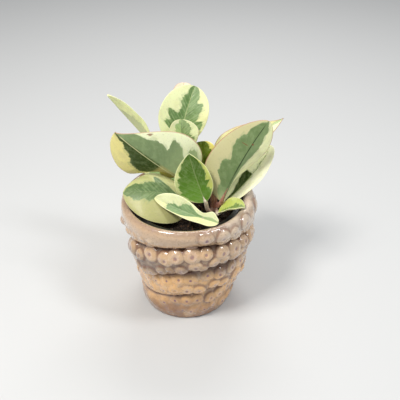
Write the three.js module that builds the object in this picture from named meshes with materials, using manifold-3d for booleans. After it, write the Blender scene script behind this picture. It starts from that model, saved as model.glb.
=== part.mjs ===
import * as THREE from "three";
import { mergeVertices } from "three/addons/utils/BufferGeometryUtils.js";
import Module from "manifold-3d";

// A variegated peperomia in a black nursery pot, standing in a glazed planter whose wall is
// wrapped by four thick coils with suckers. Millimetres, +Z up. The origin is the centre of the
// planter's foot, on the surface that it stands on, and the front is towards -Y.

const wasm = await Module();
wasm.setup();

// Planter
const PLANTER_HEIGHT = 112.5;
const FOOT_RADIUS = 38;
const FOOT_EDGE = 1.5; // height at which the foot's rounded edge meets the wall
const WALL_FOOT_RADIUS = 40.3; // the wall in the creases between coils, at the foot
const WALL_SPREAD = 9.5; // how much wider the creases are at SPREAD_HEIGHT
const SPREAD_HEIGHT = 90;
const RIGHT_SWELL = 3; // the wall bellies out a little more on its right
const LIP_START = 106; // the rim rounds over above this height
const LIP_TILT = 1; // the right of the rim is this much higher than its middle
const MOUTH_RADIUS = 50.6;
const MOUTH_DEPTH = 6; // the mouth is straight for this far below LIP_START
const INSIDE_FOOT_RADIUS = 37.5;
const INSIDE_SPREAD = 9.5; // how much wider the inside is at INSIDE_SPREAD_HEIGHT
const INSIDE_SPREAD_HEIGHT = 96;
const FLOOR_THICKNESS = 10;
const COIL_FOOT = -6; // the lowest coil's lower edge would lie here, below the foot
const COIL_RIM = 122; // and the rim coil's upper edge here, above the rim
const AROUND = 108; // mesh steps round the planter
const COIL_STEPS = 6; // mesh steps up each coil
const SUCKER_WIDTH = 4; // a sucker is this many steps wide
const SUCKER_HEIGHT = 3; // and this many high
const SUCKER_GROWTH = 0.25; // turns over which the suckers of a row grow to their full height
const LIP_STEPS = 4;

// Nursery pot
const POT_BASE_RADIUS = 36;
const POT_TOP_RADIUS = 45.6;
const POT_LIP_RADIUS = 49.6;
const POT_BASE = FLOOR_THICKNESS + 0.3;
const POT_TOP = 106.5;
const POT_LIP_HEIGHT = 4;
const POT_WALL = 1.1;
const POT_SIDES = 32;
const DRAIN_HOLES = 6;
const DRAIN_RADIUS = 4;
const DRAIN_CIRCLE = 22;

// Soil
const SOIL_TOP = 98;
const SOIL_SIDES = 26;
const GAP = 0.3; // clearance between touching pieces

// Leaves
const LEAF_ROWS = 11; // steps from the root of a blade to its tip
const LEAF_COLUMNS = 3; // steps from its midrib to each margin
const RIB_THICKNESS = 1.4;
const MARGIN_THICKNESS = 0.8;
const STALK_RADII = [1.7, 1.5, 1.5, 0.9]; // from the stem to the blade
const STALK_END = 0.06; // a stalk runs on under the midrib for this share of the blade
const STALK_LEAD = 0.35; // share of its length over which a stalk swings into the midrib's line
const LOBE_PLACE = 0.1; // middle of a lobe beside the root, and its spread, along the blade
const LOBE_SPREAD = 0.1;
const KEEL_REACH = 0.7; // a deeper fold at the root has opened up by here

const V = (x, y, z) => new THREE.Vector3(x, y, z);
const smooth = (a, b, x) => THREE.MathUtils.smoothstep(x, a, b);

// Closed bodies

function bodyGeometry(points, triangles) {
  const geometry = new THREE.BufferGeometry();
  geometry.setAttribute(
    "position",
    new THREE.Float32BufferAttribute(points.flatMap((p) => [p.x, p.y, p.z]), 3),
  );
  geometry.setIndex(triangles.flat());
  return geometry;
}

// A skin over rings of equal length, closed by a fan over the first and the last ring.
function skinRings(rings) {
  const n = rings[0].length;
  const points = rings.flat();
  const triangles = [];
  for (let i = 0; i + 1 < rings.length; i++) {
    for (let j = 0; j < n; j++) {
      const a = i * n + j;
      const b = i * n + ((j + 1) % n);
      triangles.push([a, b, b + n], [a, b + n, a + n]);
    }
  }
  const cap = (ring, start, flip) => {
    const middle = ring.reduce((sum, p) => sum.add(p), V(0, 0, 0)).divideScalar(n);
    points.push(middle);
    for (let j = 0; j < n; j++) {
      const a = start + j;
      const b = start + ((j + 1) % n);
      triangles.push(flip ? [b, a, points.length - 1] : [a, b, points.length - 1]);
    }
  };
  cap(rings[0], 0, true);
  cap(rings.at(-1), (rings.length - 1) * n, false);
  return bodyGeometry(points, triangles);
}

// A round tube with a radius of its own at each point along a smooth curve.
function taperedTube(curve, radii, sides, steps) {
  const rings = [];
  let across = V(1, 0, 0);
  for (let i = 0; i <= steps; i++) {
    const t = i / steps;
    const middle = curve.getPoint(t);
    const along = curve.getTangent(t);
    if (Math.abs(across.dot(along)) > 0.95) across = V(0, 1, 0);
    across = across.clone().addScaledVector(along, -across.dot(along)).normalize();
    const over = along.clone().cross(across);
    const place = t * (radii.length - 1);
    const k = Math.min(Math.floor(place), radii.length - 2);
    const radius = THREE.MathUtils.lerp(radii[k], radii[k + 1], place - k);
    const ring = [];
    for (let j = 0; j < sides; j++) {
      const a = (j / sides) * 2 * Math.PI;
      ring.push(
        middle
          .clone()
          .addScaledVector(across, radius * Math.cos(a))
          .addScaledVector(over, radius * Math.sin(a)),
      );
    }
    rings.push(ring);
  }
  return skinRings(rings);
}

function toSolid(geometry) {
  const bare = geometry.clone();
  bare.deleteAttribute("normal");
  bare.deleteAttribute("uv");
  const merged = mergeVertices(bare, 1e-4);
  return new wasm.Manifold(
    new wasm.Mesh({
      numProp: 3,
      vertProperties: new Float32Array(merged.attributes.position.array),
      triVerts: new Uint32Array(merged.index.array),
    }),
  );
}

function toGeometry(solid) {
  const { vertProperties, triVerts, numProp } = solid.getMesh();
  const points = [];
  for (let i = 0; i < vertProperties.length; i += numProp) {
    points.push(V(vertProperties[i], vertProperties[i + 1], vertProperties[i + 2]));
  }
  return bodyGeometry(points, [Array.from(triVerts)]);
}

// Planter

// Heights of the creases between the coils, from the lowest up, at an angle in turns.
// Turn 0 is on the right, 0.25 at the back, 0.5 on the left and 0.75 at the front.
const wave = (turn, peak, reach) => reach * Math.cos(2 * Math.PI * (turn - peak));
const creases = [
  (turn) => 28 + wave(turn, 0.9, 7) + 3 * Math.cos(4 * Math.PI * (turn - 0.83)),
  (turn) => 54 + wave(turn, 0.92, 16) + 2 * Math.cos(4 * Math.PI * (turn - 0.75)),
  (turn) => 82 + wave(turn, 0.83, 8) + 4 * Math.cos(4 * Math.PI * (turn - 0.75)),
];
const COIL_SWELL = [
  (turn) => 2.6 - wave(turn, 0, 0.8), // lowest coil
  (turn) => 5 + wave(turn, 0, 3),
  (turn) => 7.5 + wave(turn, 0, 1),
  () => 8, // rim coil
];

// Rows of suckers. place counts coils up from the foot, from and to are the angles in turns
// between which a row runs. Its suckers stand out by first where it starts, and grow to last.
const suckerRows = [
  { place: 3.75, from: 0.8, to: 1.3, first: 2, last: 2 },
  { place: 3.75, from: 0.44, to: 0.64, first: 2, last: 1.6 },
  { place: 3.25, from: 0.855, to: 1.42, first: 1.6, last: 1.8 },
  { place: 2.75, from: 0.55, to: 1.36, first: 2.8, last: 3 },
  { place: 2.25, from: 0.6, to: 1.34, first: 1.2, last: 2.6 },
  { place: 1.75, from: 0.62, to: 1.5, first: 0.5, last: 1.4 },
  { place: 1.25, from: 0.64, to: 1.45, first: 0.6, last: 2.4 },
  { place: 0.75, from: 0.68, to: 1.2, first: 0.7, last: 3 },
  { place: 0.25, from: 0.69, to: 1.16, first: 0.5, last: 1.6 },
];

function wallRadius(turn, z) {
  const spread = WALL_SPREAD * (Math.max(z, 0) / SPREAD_HEIGHT) ** 0.8;
  const right = Math.max(0, Math.cos(2 * Math.PI * turn));
  return WALL_FOOT_RADIUS + spread + RIGHT_SWELL * right * smooth(0, SPREAD_HEIGHT, z);
}

function coilEdges(coil, turn) {
  const edge = (i) => creases[i]?.(turn);
  return [edge(coil - 1) ?? COIL_FOOT, edge(coil) ?? COIL_RIM];
}

function coilRadius(turn, z) {
  let coil = 3;
  while (coil > 0 && z < creases[coil - 1](turn)) coil--;
  const [lower, upper] = coilEdges(coil, turn);
  const t = (2 * (z - lower)) / (upper - lower) - 1;
  return wallRadius(turn, z) + COIL_SWELL[coil](turn) * Math.max(0, 1 - t * t) ** 0.55;
}

// Height of the suckers over a coil, each of them a dome.
function suckerRise(turn, place) {
  let rise = 0;
  for (const { place: middle, from, to, first, last } of suckerRows) {
    const half = SUCKER_WIDTH / 2;
    const start = Math.round(from * AROUND);
    const column = THREE.MathUtils.euclideanModulo(turn * AROUND - start + half, AROUND) - half;
    const sucker = SUCKER_WIDTH * Math.round(column / SUCKER_WIDTH);
    const up = ((place - middle) * COIL_STEPS) / (SUCKER_HEIGHT / 2);
    const d = Math.hypot((column - sucker) / half, up);
    if (d >= 1 || sucker > (to - from) * AROUND) continue;
    const grown = Math.min(1, sucker / (SUCKER_GROWTH * AROUND));
    rise = Math.max(rise, THREE.MathUtils.lerp(first, last, grown) * (1 - d * d) ** 0.6);
  }
  return rise;
}

// Rows of the wall's mesh follow the coils: place counts coils up from the foot.
function wallHeight(turn, place) {
  const edges = [FOOT_EDGE, ...creases.map((crease) => crease(turn)), LIP_START];
  const coil = Math.min(3, Math.floor(place));
  return THREE.MathUtils.lerp(edges[coil], edges[coil + 1], place - coil);
}

const insideRadius = (z) => INSIDE_FOOT_RADIUS + (INSIDE_SPREAD * z) / INSIDE_SPREAD_HEIGHT;
const lipShift = (turn) => LIP_TILT * Math.cos(2 * Math.PI * turn);

function ringAt(radiusAt, heightAt, count = AROUND) {
  const ring = [];
  for (let j = 0; j < count; j++) {
    const turn = j / count;
    const a = 2 * Math.PI * turn;
    ring.push(V(radiusAt(turn) * Math.cos(a), radiusAt(turn) * Math.sin(a), heightAt(turn)));
  }
  return ring;
}

function planterGeometry() {
  const rings = [];
  rings.push(ringAt(() => FOOT_RADIUS, () => 0));
  for (let i = 0; i <= 4 * COIL_STEPS; i++) {
    const height = (turn) => wallHeight(turn, i / COIL_STEPS);
    const tilt = (turn) => lipShift(turn) * smooth(0, LIP_START, height(turn));
    const radius = (turn) => coilRadius(turn, height(turn)) + suckerRise(turn, i / COIL_STEPS);
    rings.push(ringAt(radius, (turn) => height(turn) + tilt(turn)));
  }
  for (let i = 1; i <= LIP_STEPS; i++) {
    const a = (Math.PI * i) / (LIP_STEPS + 1);
    const middle = (turn) => (coilRadius(turn, LIP_START) + MOUTH_RADIUS) / 2;
    const half = (turn) => (coilRadius(turn, LIP_START) - MOUTH_RADIUS) / 2;
    rings.push(
      ringAt(
        (turn) => middle(turn) + half(turn) * Math.cos(a),
        (turn) => LIP_START + lipShift(turn) + (PLANTER_HEIGHT - LIP_START) * Math.sin(a),
      ),
    );
  }
  rings.push(ringAt(() => MOUTH_RADIUS, () => LIP_START - MOUTH_DEPTH));
  rings.push(ringAt(() => insideRadius(INSIDE_SPREAD_HEIGHT), () => INSIDE_SPREAD_HEIGHT));
  rings.push(ringAt(() => insideRadius(FLOOR_THICKNESS), () => FLOOR_THICKNESS));
  return skinRings(rings);
}

// Nursery pot

function nurseryPotGeometry() {
  const outside = [
    [0, POT_BASE],
    [POT_BASE_RADIUS, POT_BASE],
    [POT_TOP_RADIUS, POT_TOP - POT_WALL],
    [POT_LIP_RADIUS - POT_WALL, POT_TOP - POT_WALL],
    [POT_LIP_RADIUS - POT_WALL, POT_TOP - POT_LIP_HEIGHT],
    [POT_LIP_RADIUS, POT_TOP - POT_LIP_HEIGHT],
    [POT_LIP_RADIUS, POT_TOP],
    [POT_TOP_RADIUS - POT_WALL, POT_TOP],
    [POT_BASE_RADIUS - POT_WALL, POT_BASE + POT_WALL],
    [0, POT_BASE + POT_WALL],
  ].map(([r, z]) => new THREE.Vector2(r, z));
  const lathe = new THREE.LatheGeometry(outside, POT_SIDES);
  lathe.rotateX(Math.PI / 2);
  let pot = toSolid(lathe);
  for (let i = 0; i < DRAIN_HOLES; i++) {
    const a = (2 * Math.PI * i) / DRAIN_HOLES;
    const hole = new THREE.CylinderGeometry(DRAIN_RADIUS, DRAIN_RADIUS, 6, 10);
    hole.rotateX(Math.PI / 2);
    hole.translate(DRAIN_CIRCLE * Math.cos(a), DRAIN_CIRCLE * Math.sin(a), POT_BASE);
    pot = pot.subtract(toSolid(hole));
  }
  return toGeometry(pot);
}

// Stems: points on the middle of each, from the soil up, and the radius there.
const stems = {
  stem_right: {
    points: [V(24, -3, 72), V(25, -4, 98), V(24, -2, 116), V(21, 4, 136)],
    radii: [3.4, 3.2, 2.9, 2.2],
  },
  stem_left: {
    points: [V(4, 10, 72), V(3, 10, 98), V(2, 12, 124), V(2, 20, 146)],
    radii: [3.6, 3.4, 3, 2.2],
  },
  stem_front: {
    points: [V(3, -8, 72), V(3, -7, 98), V(5, -5, 111)],
    radii: [3, 2.8, 2.2],
  },
};
const stemCurve = (stem, points = stems[stem].points) => new THREE.CatmullRomCurve3(points);
const stemGeometry = (stem, extra = 0) =>
  taperedTube(stemCurve(stem), stems[stem].radii.map((r) => r + extra), 8, 9);

// Soil

function soilHeight(x, y) {
  const lumps = Math.sin(x * 0.31 + 1.3) * Math.cos(y * 0.27) + 0.6 * Math.sin(x * 0.11 - y * 0.42);
  return SOIL_TOP + 0.7 * lumps - 0.0012 * (x * x + y * y);
}

function soilGeometry() {
  const inner = (z) => {
    const t = (z - POT_BASE) / (POT_TOP - POT_WALL - POT_BASE);
    return THREE.MathUtils.lerp(POT_BASE_RADIUS, POT_TOP_RADIUS, t) - POT_WALL - GAP - 0.1;
  };
  const base = POT_BASE + POT_WALL + GAP;
  const rings = [ringAt(() => inner(base) - 0.4, () => base, SOIL_SIDES)];
  const top = (share) => {
    const radius = inner(SOIL_TOP - 4) * share;
    const ring = ringAt(() => radius, () => 0, SOIL_SIDES);
    for (const p of ring) p.z = soilHeight(p.x, p.y);
    return ring;
  };
  for (const share of [1, 0.82, 0.62, 0.42, 0.2]) rings.push(top(share));
  let soil = toSolid(skinRings(rings));
  for (const stem of Object.keys(stems)) soil = soil.subtract(toSolid(stemGeometry(stem, GAP)));
  return toGeometry(soil);
}

// Leaves
//
// Each blade grows along its midrib from root to tip. face is the way its upper side looks, bow
// lifts the middle of the midrib and sway moves it to the right. The pairs are for the left and
// the right half, seen from the upper side with the tip up:
//   width          greatest width, from the midrib to the margin
//   wide           where that is, from 0 at the root to 1 at the tip
//   narrow, blunt  how slender the half is between there and the root, and the tip
//   fold, keel     angle at which it leaves the midrib, and how much steeper it is at the root
//   curl           how much it turns from the midrib to the margin
//   lobe           extra width beside the root
// The stalk leaves its stem at from, a share of the stem's length, passes the points in via, and
// meets the midrib at joint.
const leaves = [
  {
    name: "leaf_front_centre",
    stem: "stem_right",
    from: 0.38,
    root: V(17, -16, 115),
    tip: V(3, -8, 159),
    face: V(0, -1, 0.1),
    bow: -1,
    sway: -1,
    width: [20, 14],
    wide: [0.4, 0.45],
    fold: [6, 10],
    curl: [6, 14],
    blunt: [0.85, 0.8],
    via: [V(20, -12, 103)],
  },
  {
    name: "leaf_front_low",
    stem: "stem_front",
    from: 0.7,
    root: V(27, -47, 116),
    tip: V(-27, -18, 121),
    face: V(0, -0.75, 0.66),
    bow: -3,
    sway: -1,
    width: [6, 11],
    wide: [0.45, 0.66],
    fold: [14, 12],
    curl: [10, 0],
    narrow: [0.4, 2.2],
    lobe: [1, 7],
    joint: 0.22,
    via: [V(9, -20, 103), V(13, -33, 108)],
  },
  {
    name: "leaf_left_low",
    stem: "stem_front",
    from: 0.85,
    root: V(2, -9, 115.5),
    tip: V(-55, -10, 121),
    face: V(-0.1, -0.45, 0.88),
    bow: 6,
    sway: 0,
    width: [27.5, 25],
    wide: [0.38, 0.5],
    fold: [-3, -4],
    curl: [-12, -30],
    keel: [-10, 0],
    narrow: [0.2, 0.72],
    blunt: [0.6, 0.5],
  },
  {
    name: "leaf_left_yellow",
    stem: "stem_left",
    from: 0.5,
    root: V(-7, 19, 121),
    tip: V(-24, 18, 133),
    face: V(0, -0.9, 0.4),
    bow: 1,
    sway: 0,
    width: [8, 8],
    wide: [0.6, 0.6],
    fold: [8, 8],
    curl: [6, 6],
  },
  {
    name: "leaf_left_big",
    stem: "stem_left",
    from: 0.5,
    root: V(3, 3, 122),
    tip: V(-59, 3, 174),
    face: V(0.1, 1, 0.1),
    bow: -3,
    sway: 0,
    width: [36, 36],
    wide: [0.33, 0.57],
    fold: [14, 10],
    curl: [10, 10],
    keel: [0, 8],
    narrow: [0.33, 9],
    blunt: [1.5, 0.53],
  },
  {
    name: "leaf_left_back",
    stem: "stem_left",
    from: 0.72,
    root: V(-31, 40, 142),
    tip: V(-69, 46, 188),
    face: V(0.6, 0.55, 0.55),
    bow: 1,
    sway: 7,
    width: [13, 13],
    wide: [0.4, 0.4],
    fold: [26, 26],
    curl: [10, 10],
  },
  {
    name: "leaf_top",
    stem: "stem_left",
    from: 1,
    root: V(-8, 18, 148),
    tip: V(8, 44, 197),
    face: V(0, -0.82, 0.57),
    bow: 3,
    sway: -1,
    width: [23, 20],
    wide: [0.5, 0.58],
    fold: [8, 8],
    curl: [6, 6],
    blunt: [0.55, 0.55],
  },
  {
    name: "leaf_top_small",
    stem: "stem_left",
    from: 0.9,
    root: V(0, 11, 150),
    tip: V(-4, 20, 177),
    face: V(0, -0.85, 0.5),
    bow: 2,
    sway: -1,
    width: [11, 15],
    wide: [0.6, 0.6],
    fold: [12, 12],
    curl: [10, 10],
    blunt: [0.45, 0.55],
  },
  {
    name: "leaf_top_back",
    stem: "stem_left",
    from: 0.84,
    root: V(-3, 36, 158),
    tip: V(-2, 56, 195),
    face: V(0, -0.82, 0.57),
    bow: 3,
    sway: 0,
    width: [11, 11],
    wide: [0.6, 0.6],
    fold: [8, 8],
    curl: [8, 8],
    blunt: [0.4, 0.4],
  },
  {
    name: "leaf_middle_dark",
    stem: "stem_right",
    from: 0.92,
    root: V(17, 15, 132),
    tip: V(13.5, 19, 156),
    face: V(0, -0.9, 0.4),
    bow: 2,
    sway: 0,
    width: [12, 12],
    wide: [0.6, 0.6],
    fold: [8, 8],
    curl: [8, 8],
    blunt: [0.4, 0.4],
  },
  {
    name: "leaf_right_big",
    stem: "stem_right",
    from: 0.48,
    root: V(31, -13, 114),
    tip: V(69, 2, 185),
    face: V(0.1, 1, 0.1),
    bow: -2,
    sway: 3,
    width: [17, 27],
    wide: [0.68, 0.36],
    fold: [16, 10],
    curl: [4, 10],
    keel: [70, 0],
    blunt: [0.5, 0.75],
    via: [V(28, -10, 107)],
  },
  {
    name: "leaf_right_low",
    stem: "stem_right",
    from: 0.45,
    root: V(33, -4, 105),
    tip: V(75, 19, 152),
    face: V(-0.5, -0.7, 0.5),
    bow: -2,
    sway: 3,
    width: [13, 12],
    wide: [0.65, 0.65],
    fold: [4, 14],
    curl: [0, 14],
    blunt: [0.5, 0.45],
    via: [V(29, -3, 104)],
  },
  {
    name: "leaf_right_back",
    stem: "stem_right",
    from: 0.78,
    root: V(25, 24, 131),
    tip: V(86, 34, 171),
    face: V(-0.3, -0.7, 0.65),
    bow: 3,
    sway: 0,
    width: [17, 12],
    wide: [0.3, 0.45],
    fold: [10, 10],
    curl: [8, 8],
    blunt: [1.6, 0.9],
  },
  {
    name: "leaf_right_small",
    stem: "stem_right",
    from: 0.36,
    root: V(27.5, -17.5, 104.5),
    tip: V(50.9, -24, 115.8),
    face: V(-0.1, -0.1, 1),
    bow: 2,
    sway: 0,
    width: [10, 6],
    wide: [0.55, 0.55],
    fold: [25, 25],
    curl: [10, 20],
    via: [V(27.5, -10.5, 101)],
    narrow: [1, 0.72],
  },
  {
    name: "leaf_back_left",
    stem: "stem_left",
    from: 0.42,
    root: V(-12, 27, 106),
    tip: V(-42, 54, 118),
    face: V(-0.2, 0.1, 1),
    bow: 4,
    sway: 0,
    width: [16, 16],
    wide: [0.55, 0.55],
    fold: [10, 10],
    curl: [-14, -14],
  },
  {
    name: "leaf_back_centre",
    stem: "stem_left",
    from: 0.46,
    root: V(9, 26, 109),
    tip: V(14, 70, 118),
    face: V(0, 0.1, 1),
    bow: 6,
    sway: 0,
    width: [17, 17],
    wide: [0.55, 0.55],
    fold: [10, 10],
    curl: [-16, -16],
  },
  {
    name: "leaf_back_right",
    stem: "stem_right",
    from: 0.76,
    root: V(32, 16, 118),
    tip: V(54, 54, 132),
    face: V(0.2, -0.1, 1),
    bow: 5,
    sway: 0,
    width: [20, 20],
    wide: [0.55, 0.55],
    fold: [12, 12],
    curl: [-8, -8],
  },
];
const usual = {
  bow: 2,
  sway: 0,
  narrow: [0.72, 0.72],
  blunt: [0.6, 0.6],
  keel: [0, 0],
  lobe: [0, 0],
  joint: 0,
};
for (const leaf of leaves) Object.assign(leaf, { ...usual, ...leaf });

function bladeFrame(leaf, u) {
  const face = leaf.face.clone().normalize();
  const line = leaf.tip.clone().sub(leaf.root);
  const side = line.clone().normalize().cross(face).normalize();
  const bend = leaf.root
    .clone()
    .addScaledVector(line, 0.5)
    .addScaledVector(face, 2 * leaf.bow)
    .addScaledVector(side, 2 * leaf.sway);
  const rib = new THREE.QuadraticBezierCurve3(leaf.root, bend, leaf.tip);
  const along = rib.getTangent(u);
  const up = face.addScaledVector(along, -face.dot(along)).normalize();
  return { middle: rib.getPoint(u), along, up, right: along.clone().cross(up) };
}

function halfWidth(leaf, side, u) {
  const wide = leaf.wide[side];
  const away = u < wide ? (wide - u) / wide : (u - wide) / (1 - wide);
  const blunt = u < wide ? leaf.narrow[side] : leaf.blunt[side];
  const lobe = leaf.lobe[side] * Math.exp(-(((u - LOBE_PLACE) / LOBE_SPREAD) ** 2));
  return Math.max(0.7, leaf.width[side] * (1 - away * away) ** blunt + lobe);
}

// A point on the blade: u along it, v from the midrib (0) to the left (-1) or right (1) margin.
function bladePoint(leaf, u, v, lift) {
  const { middle, up, right } = bladeFrame(leaf, u);
  const side = v < 0 ? 0 : 1;
  const sign = v < 0 ? -1 : 1;
  const w = halfWidth(leaf, side, u);
  const keel = leaf.keel[side] * Math.max(0, 1 - u / KEEL_REACH);
  const start = THREE.MathUtils.degToRad(leaf.fold[side] + keel);
  const turn = THREE.MathUtils.degToRad(leaf.curl[side]) || 1e-4;
  const end = start + turn * Math.abs(v);
  const out = (w * (Math.sin(end) - Math.sin(start))) / turn;
  const rise = (w * (Math.cos(start) - Math.cos(end))) / turn;
  return middle
    .addScaledVector(right, sign * (out - lift * Math.sin(end)))
    .addScaledVector(up, rise + lift * Math.cos(end));
}

function bladeGeometry(leaf) {
  const across = 2 * LEAF_COLUMNS + 1;
  const points = [];
  for (const layer of [0, 1]) {
    for (let i = 0; i <= LEAF_ROWS; i++) {
      const even = i / LEAF_ROWS;
      const u = 0.35 * even + 0.65 * (0.5 - 0.5 * Math.cos(Math.PI * even));
      for (let j = 0; j < across; j++) {
        const v = j / LEAF_COLUMNS - 1;
        const thickness = THREE.MathUtils.lerp(RIB_THICKNESS, MARGIN_THICKNESS, Math.abs(v));
        points.push(bladePoint(leaf, u, v, layer ? -thickness : 0));
      }
    }
  }
  const under = (LEAF_ROWS + 1) * across;
  const triangles = [];
  for (let i = 0; i < LEAF_ROWS; i++) {
    for (let j = 0; j + 1 < across; j++) {
      const a = i * across + j;
      const [b, c, d] = [a + 1, a + across + 1, a + across];
      triangles.push([a, b, c], [a, c, d]);
      triangles.push([a + under, c + under, b + under], [a + under, d + under, c + under]);
    }
  }
  const wall = (a, b) => triangles.push([b, a, a + under], [b, a + under, b + under]);
  for (let j = 0; j + 1 < across; j++) {
    wall(j, j + 1);
    wall(LEAF_ROWS * across + j + 1, LEAF_ROWS * across + j);
  }
  for (let i = 0; i < LEAF_ROWS; i++) {
    wall((i + 1) * across, i * across);
    wall(i * across + across - 1, (i + 1) * across + across - 1);
  }
  return bodyGeometry(points, triangles);
}

function leafGeometry(leaf) {
  const { joint } = leaf;
  const start = stemCurve(leaf.stem).getPoint(leaf.from);
  const meet = bladePoint(leaf, joint + STALK_END, 0, -0.5 * RIB_THICKNESS);
  const inside = bladePoint(leaf, joint, 0, -0.5 * RIB_THICKNESS);
  const heading = meet.clone().sub(inside).normalize();
  const reach = inside.distanceTo(start);
  const handle = inside.clone().addScaledVector(heading, -STALK_LEAD * reach);
  const curve = new THREE.CatmullRomCurve3([start, ...(leaf.via ?? [handle]), inside, meet]);
  const stalk = toSolid(taperedTube(curve, STALK_RADII, 6, 6));
  const clear = toSolid(stemGeometry(leaf.stem, GAP));
  return toGeometry(toSolid(bladeGeometry(leaf)).add(stalk.subtract(clear)));
}

// The group

const finish = (color, roughness) =>
  new THREE.MeshStandardMaterial({ color, roughness, metalness: 0 });
const finishes = {
  glaze: finish(0xc7a883, 0.2),
  plastic: finish(0x111111, 0.4),
  soil: finish(0x2a2019, 0.95),
  stem: finish(0x8a6450, 0.5),
  leaf: finish(0xa9bd72, 0.35),
};

function piece(name, geometry, material) {
  geometry.computeVertexNormals();
  const mesh = new THREE.Mesh(geometry, material.clone());
  mesh.name = name;
  return mesh;
}

const plant = new THREE.Group();
for (const stem of Object.keys(stems)) plant.add(piece(stem, stemGeometry(stem), finishes.stem));
for (const leaf of leaves) plant.add(piece(leaf.name, leafGeometry(leaf), finishes.leaf));

const filledPot = new THREE.Group();
filledPot.add(piece("nursery_pot", nurseryPotGeometry(), finishes.plastic));
filledPot.add(piece("soil", soilGeometry(), finishes.soil));
filledPot.add(plant);

const peperomia = new THREE.Group();
peperomia.add(piece("planter", planterGeometry(), finishes.glaze));
peperomia.add(filledPot);

export default peperomia;
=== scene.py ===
# %% [markdown]
# # A variegated peperomia in a coiled planter
#
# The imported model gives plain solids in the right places: a planter, a nursery pot, soil, three
# stems and seventeen leaves. This notebook swaps them for finer pieces that keep their form, and
# gives each one its finish. Lengths are written in millimetres, as on the bench, and turned into
# metres when a mesh is made. +Z is up and the front is towards -Y.

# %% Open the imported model
import math

import bmesh
import bpy
import numpy as np
from mathutils import Matrix, Vector


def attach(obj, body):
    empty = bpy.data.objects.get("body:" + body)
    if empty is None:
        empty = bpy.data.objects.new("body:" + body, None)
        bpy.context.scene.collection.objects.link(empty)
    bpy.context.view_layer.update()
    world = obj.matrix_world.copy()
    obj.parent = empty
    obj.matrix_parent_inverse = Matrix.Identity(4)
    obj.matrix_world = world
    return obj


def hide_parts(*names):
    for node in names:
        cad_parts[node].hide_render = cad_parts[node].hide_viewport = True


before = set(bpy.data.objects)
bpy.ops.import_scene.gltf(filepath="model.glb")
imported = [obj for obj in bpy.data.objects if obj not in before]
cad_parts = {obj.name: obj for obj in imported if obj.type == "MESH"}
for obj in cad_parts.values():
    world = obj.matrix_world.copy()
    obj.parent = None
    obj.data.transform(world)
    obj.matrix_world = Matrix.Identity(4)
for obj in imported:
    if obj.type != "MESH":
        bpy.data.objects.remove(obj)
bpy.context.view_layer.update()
MM = 0.001

# %% [markdown]
# ## Camera, floor and light
#
# The plant was seen from above at about 35 degrees with a mildly long lens. A pale floor takes the
# soft shadow. One large soft light from the upper left front makes the long highlights on the
# glaze, a weaker one from the right opens the shadows, and a third from behind rims the leaves.

# %% Camera
def in_scene(name, data):
    """A new object that shows the data, in the scene."""
    thing = bpy.data.objects.new(name, data)
    bpy.context.collection.objects.link(thing)
    return thing


camera = in_scene("camera", bpy.data.cameras.new("camera"))
camera.data.lens = 54
camera.data.sensor_width = 36
camera.data.clip_start = 0.01
camera.location = (0.0123, -0.4423, 0.4160)
camera.rotation_euler = (math.radians(55), 0, 0)
bpy.context.scene.camera = camera
bpy.context.scene.view_settings.view_transform = "Standard"
print("camera at", [round(c, 3) for c in camera.location], "lens", camera.data.lens)


# %% Small helpers for node trees
def tint(red, green, blue):
    """A colour as seen on a screen, 0 to 255, in the linear values that a shader wants."""
    values = [c / 255 for c in (red, green, blue)]
    return [c / 12.92 if c <= 0.04045 else ((c + 0.055) / 1.055) ** 2.4 for c in values] + [1.0]


def fill(tree, node, inputs):
    """Fills a node's inputs. Each is a value to set, or another node's output to link."""
    for key, value in inputs.items():
        if isinstance(value, bpy.types.NodeSocket):
            tree.links.new(value, node.inputs[key])
        else:
            node.inputs[key].default_value = value


def add(tree, kind, inputs=None, **settings):
    """Adds a node with its settings and inputs."""
    node = tree.nodes.new(kind)
    for name, value in settings.items():
        setattr(node, name, value)
    fill(tree, node, inputs or {})
    return node


# %% Sums, masks and layers of colour
def math_node(tree, operation, *values, clamp=False):
    inputs = dict(enumerate(values))
    return add(tree, "ShaderNodeMath", inputs, operation=operation, use_clamp=clamp).outputs[0]


def times(tree, first, *others):
    """The product of two or more values."""
    for other in others:
        first = math_node(tree, "MULTIPLY", first, other)
    return first


def scaled(tree, value, by, plus):
    return math_node(tree, "MULTIPLY_ADD", value, by, plus)


def step(tree, value, low, high, start=0.0, end=1.0):
    """Rises smoothly from start to end as value goes from low to high."""
    inputs = {"Value": value, "From Min": low, "From Max": high, "To Min": start, "To Max": end}
    return add(tree, "ShaderNodeMapRange", inputs, interpolation_type="SMOOTHSTEP").outputs[0]


def band(tree, value, rise, full, fade, end):
    """Goes up from rise to full, stays at 1, and goes down again from fade to end."""
    return times(tree, step(tree, value, rise, full), step(tree, value, end, fade))


def split(tree, vector):
    return add(tree, "ShaderNodeSeparateXYZ", {0: vector}).outputs


def blend(tree, factor, first, second):
    inputs = {0: factor, 6: first, 7: second}
    return add(tree, "ShaderNodeMix", inputs, data_type="RGBA").outputs[2]


def lay(tree, colour, *layers):
    """Lays colours over the first one in turn. Each layer has a mask, a strength and a colour."""
    for mask, strength, over in layers:
        factor = mask if strength == 1 else times(tree, mask, strength)
        colour = blend(tree, factor, colour, over)
    return colour


# %% Start of a finish
def new_finish(name, colour, roughness):
    """A material with a Principled shader, and its tree to add to."""
    material = bpy.data.materials.new(name)
    material.use_nodes = True
    shader = material.node_tree.nodes["Principled BSDF"]
    fill(material.node_tree, shader, {"Base Color": colour, "Roughness": roughness})
    return material, material.node_tree, shader


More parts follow.
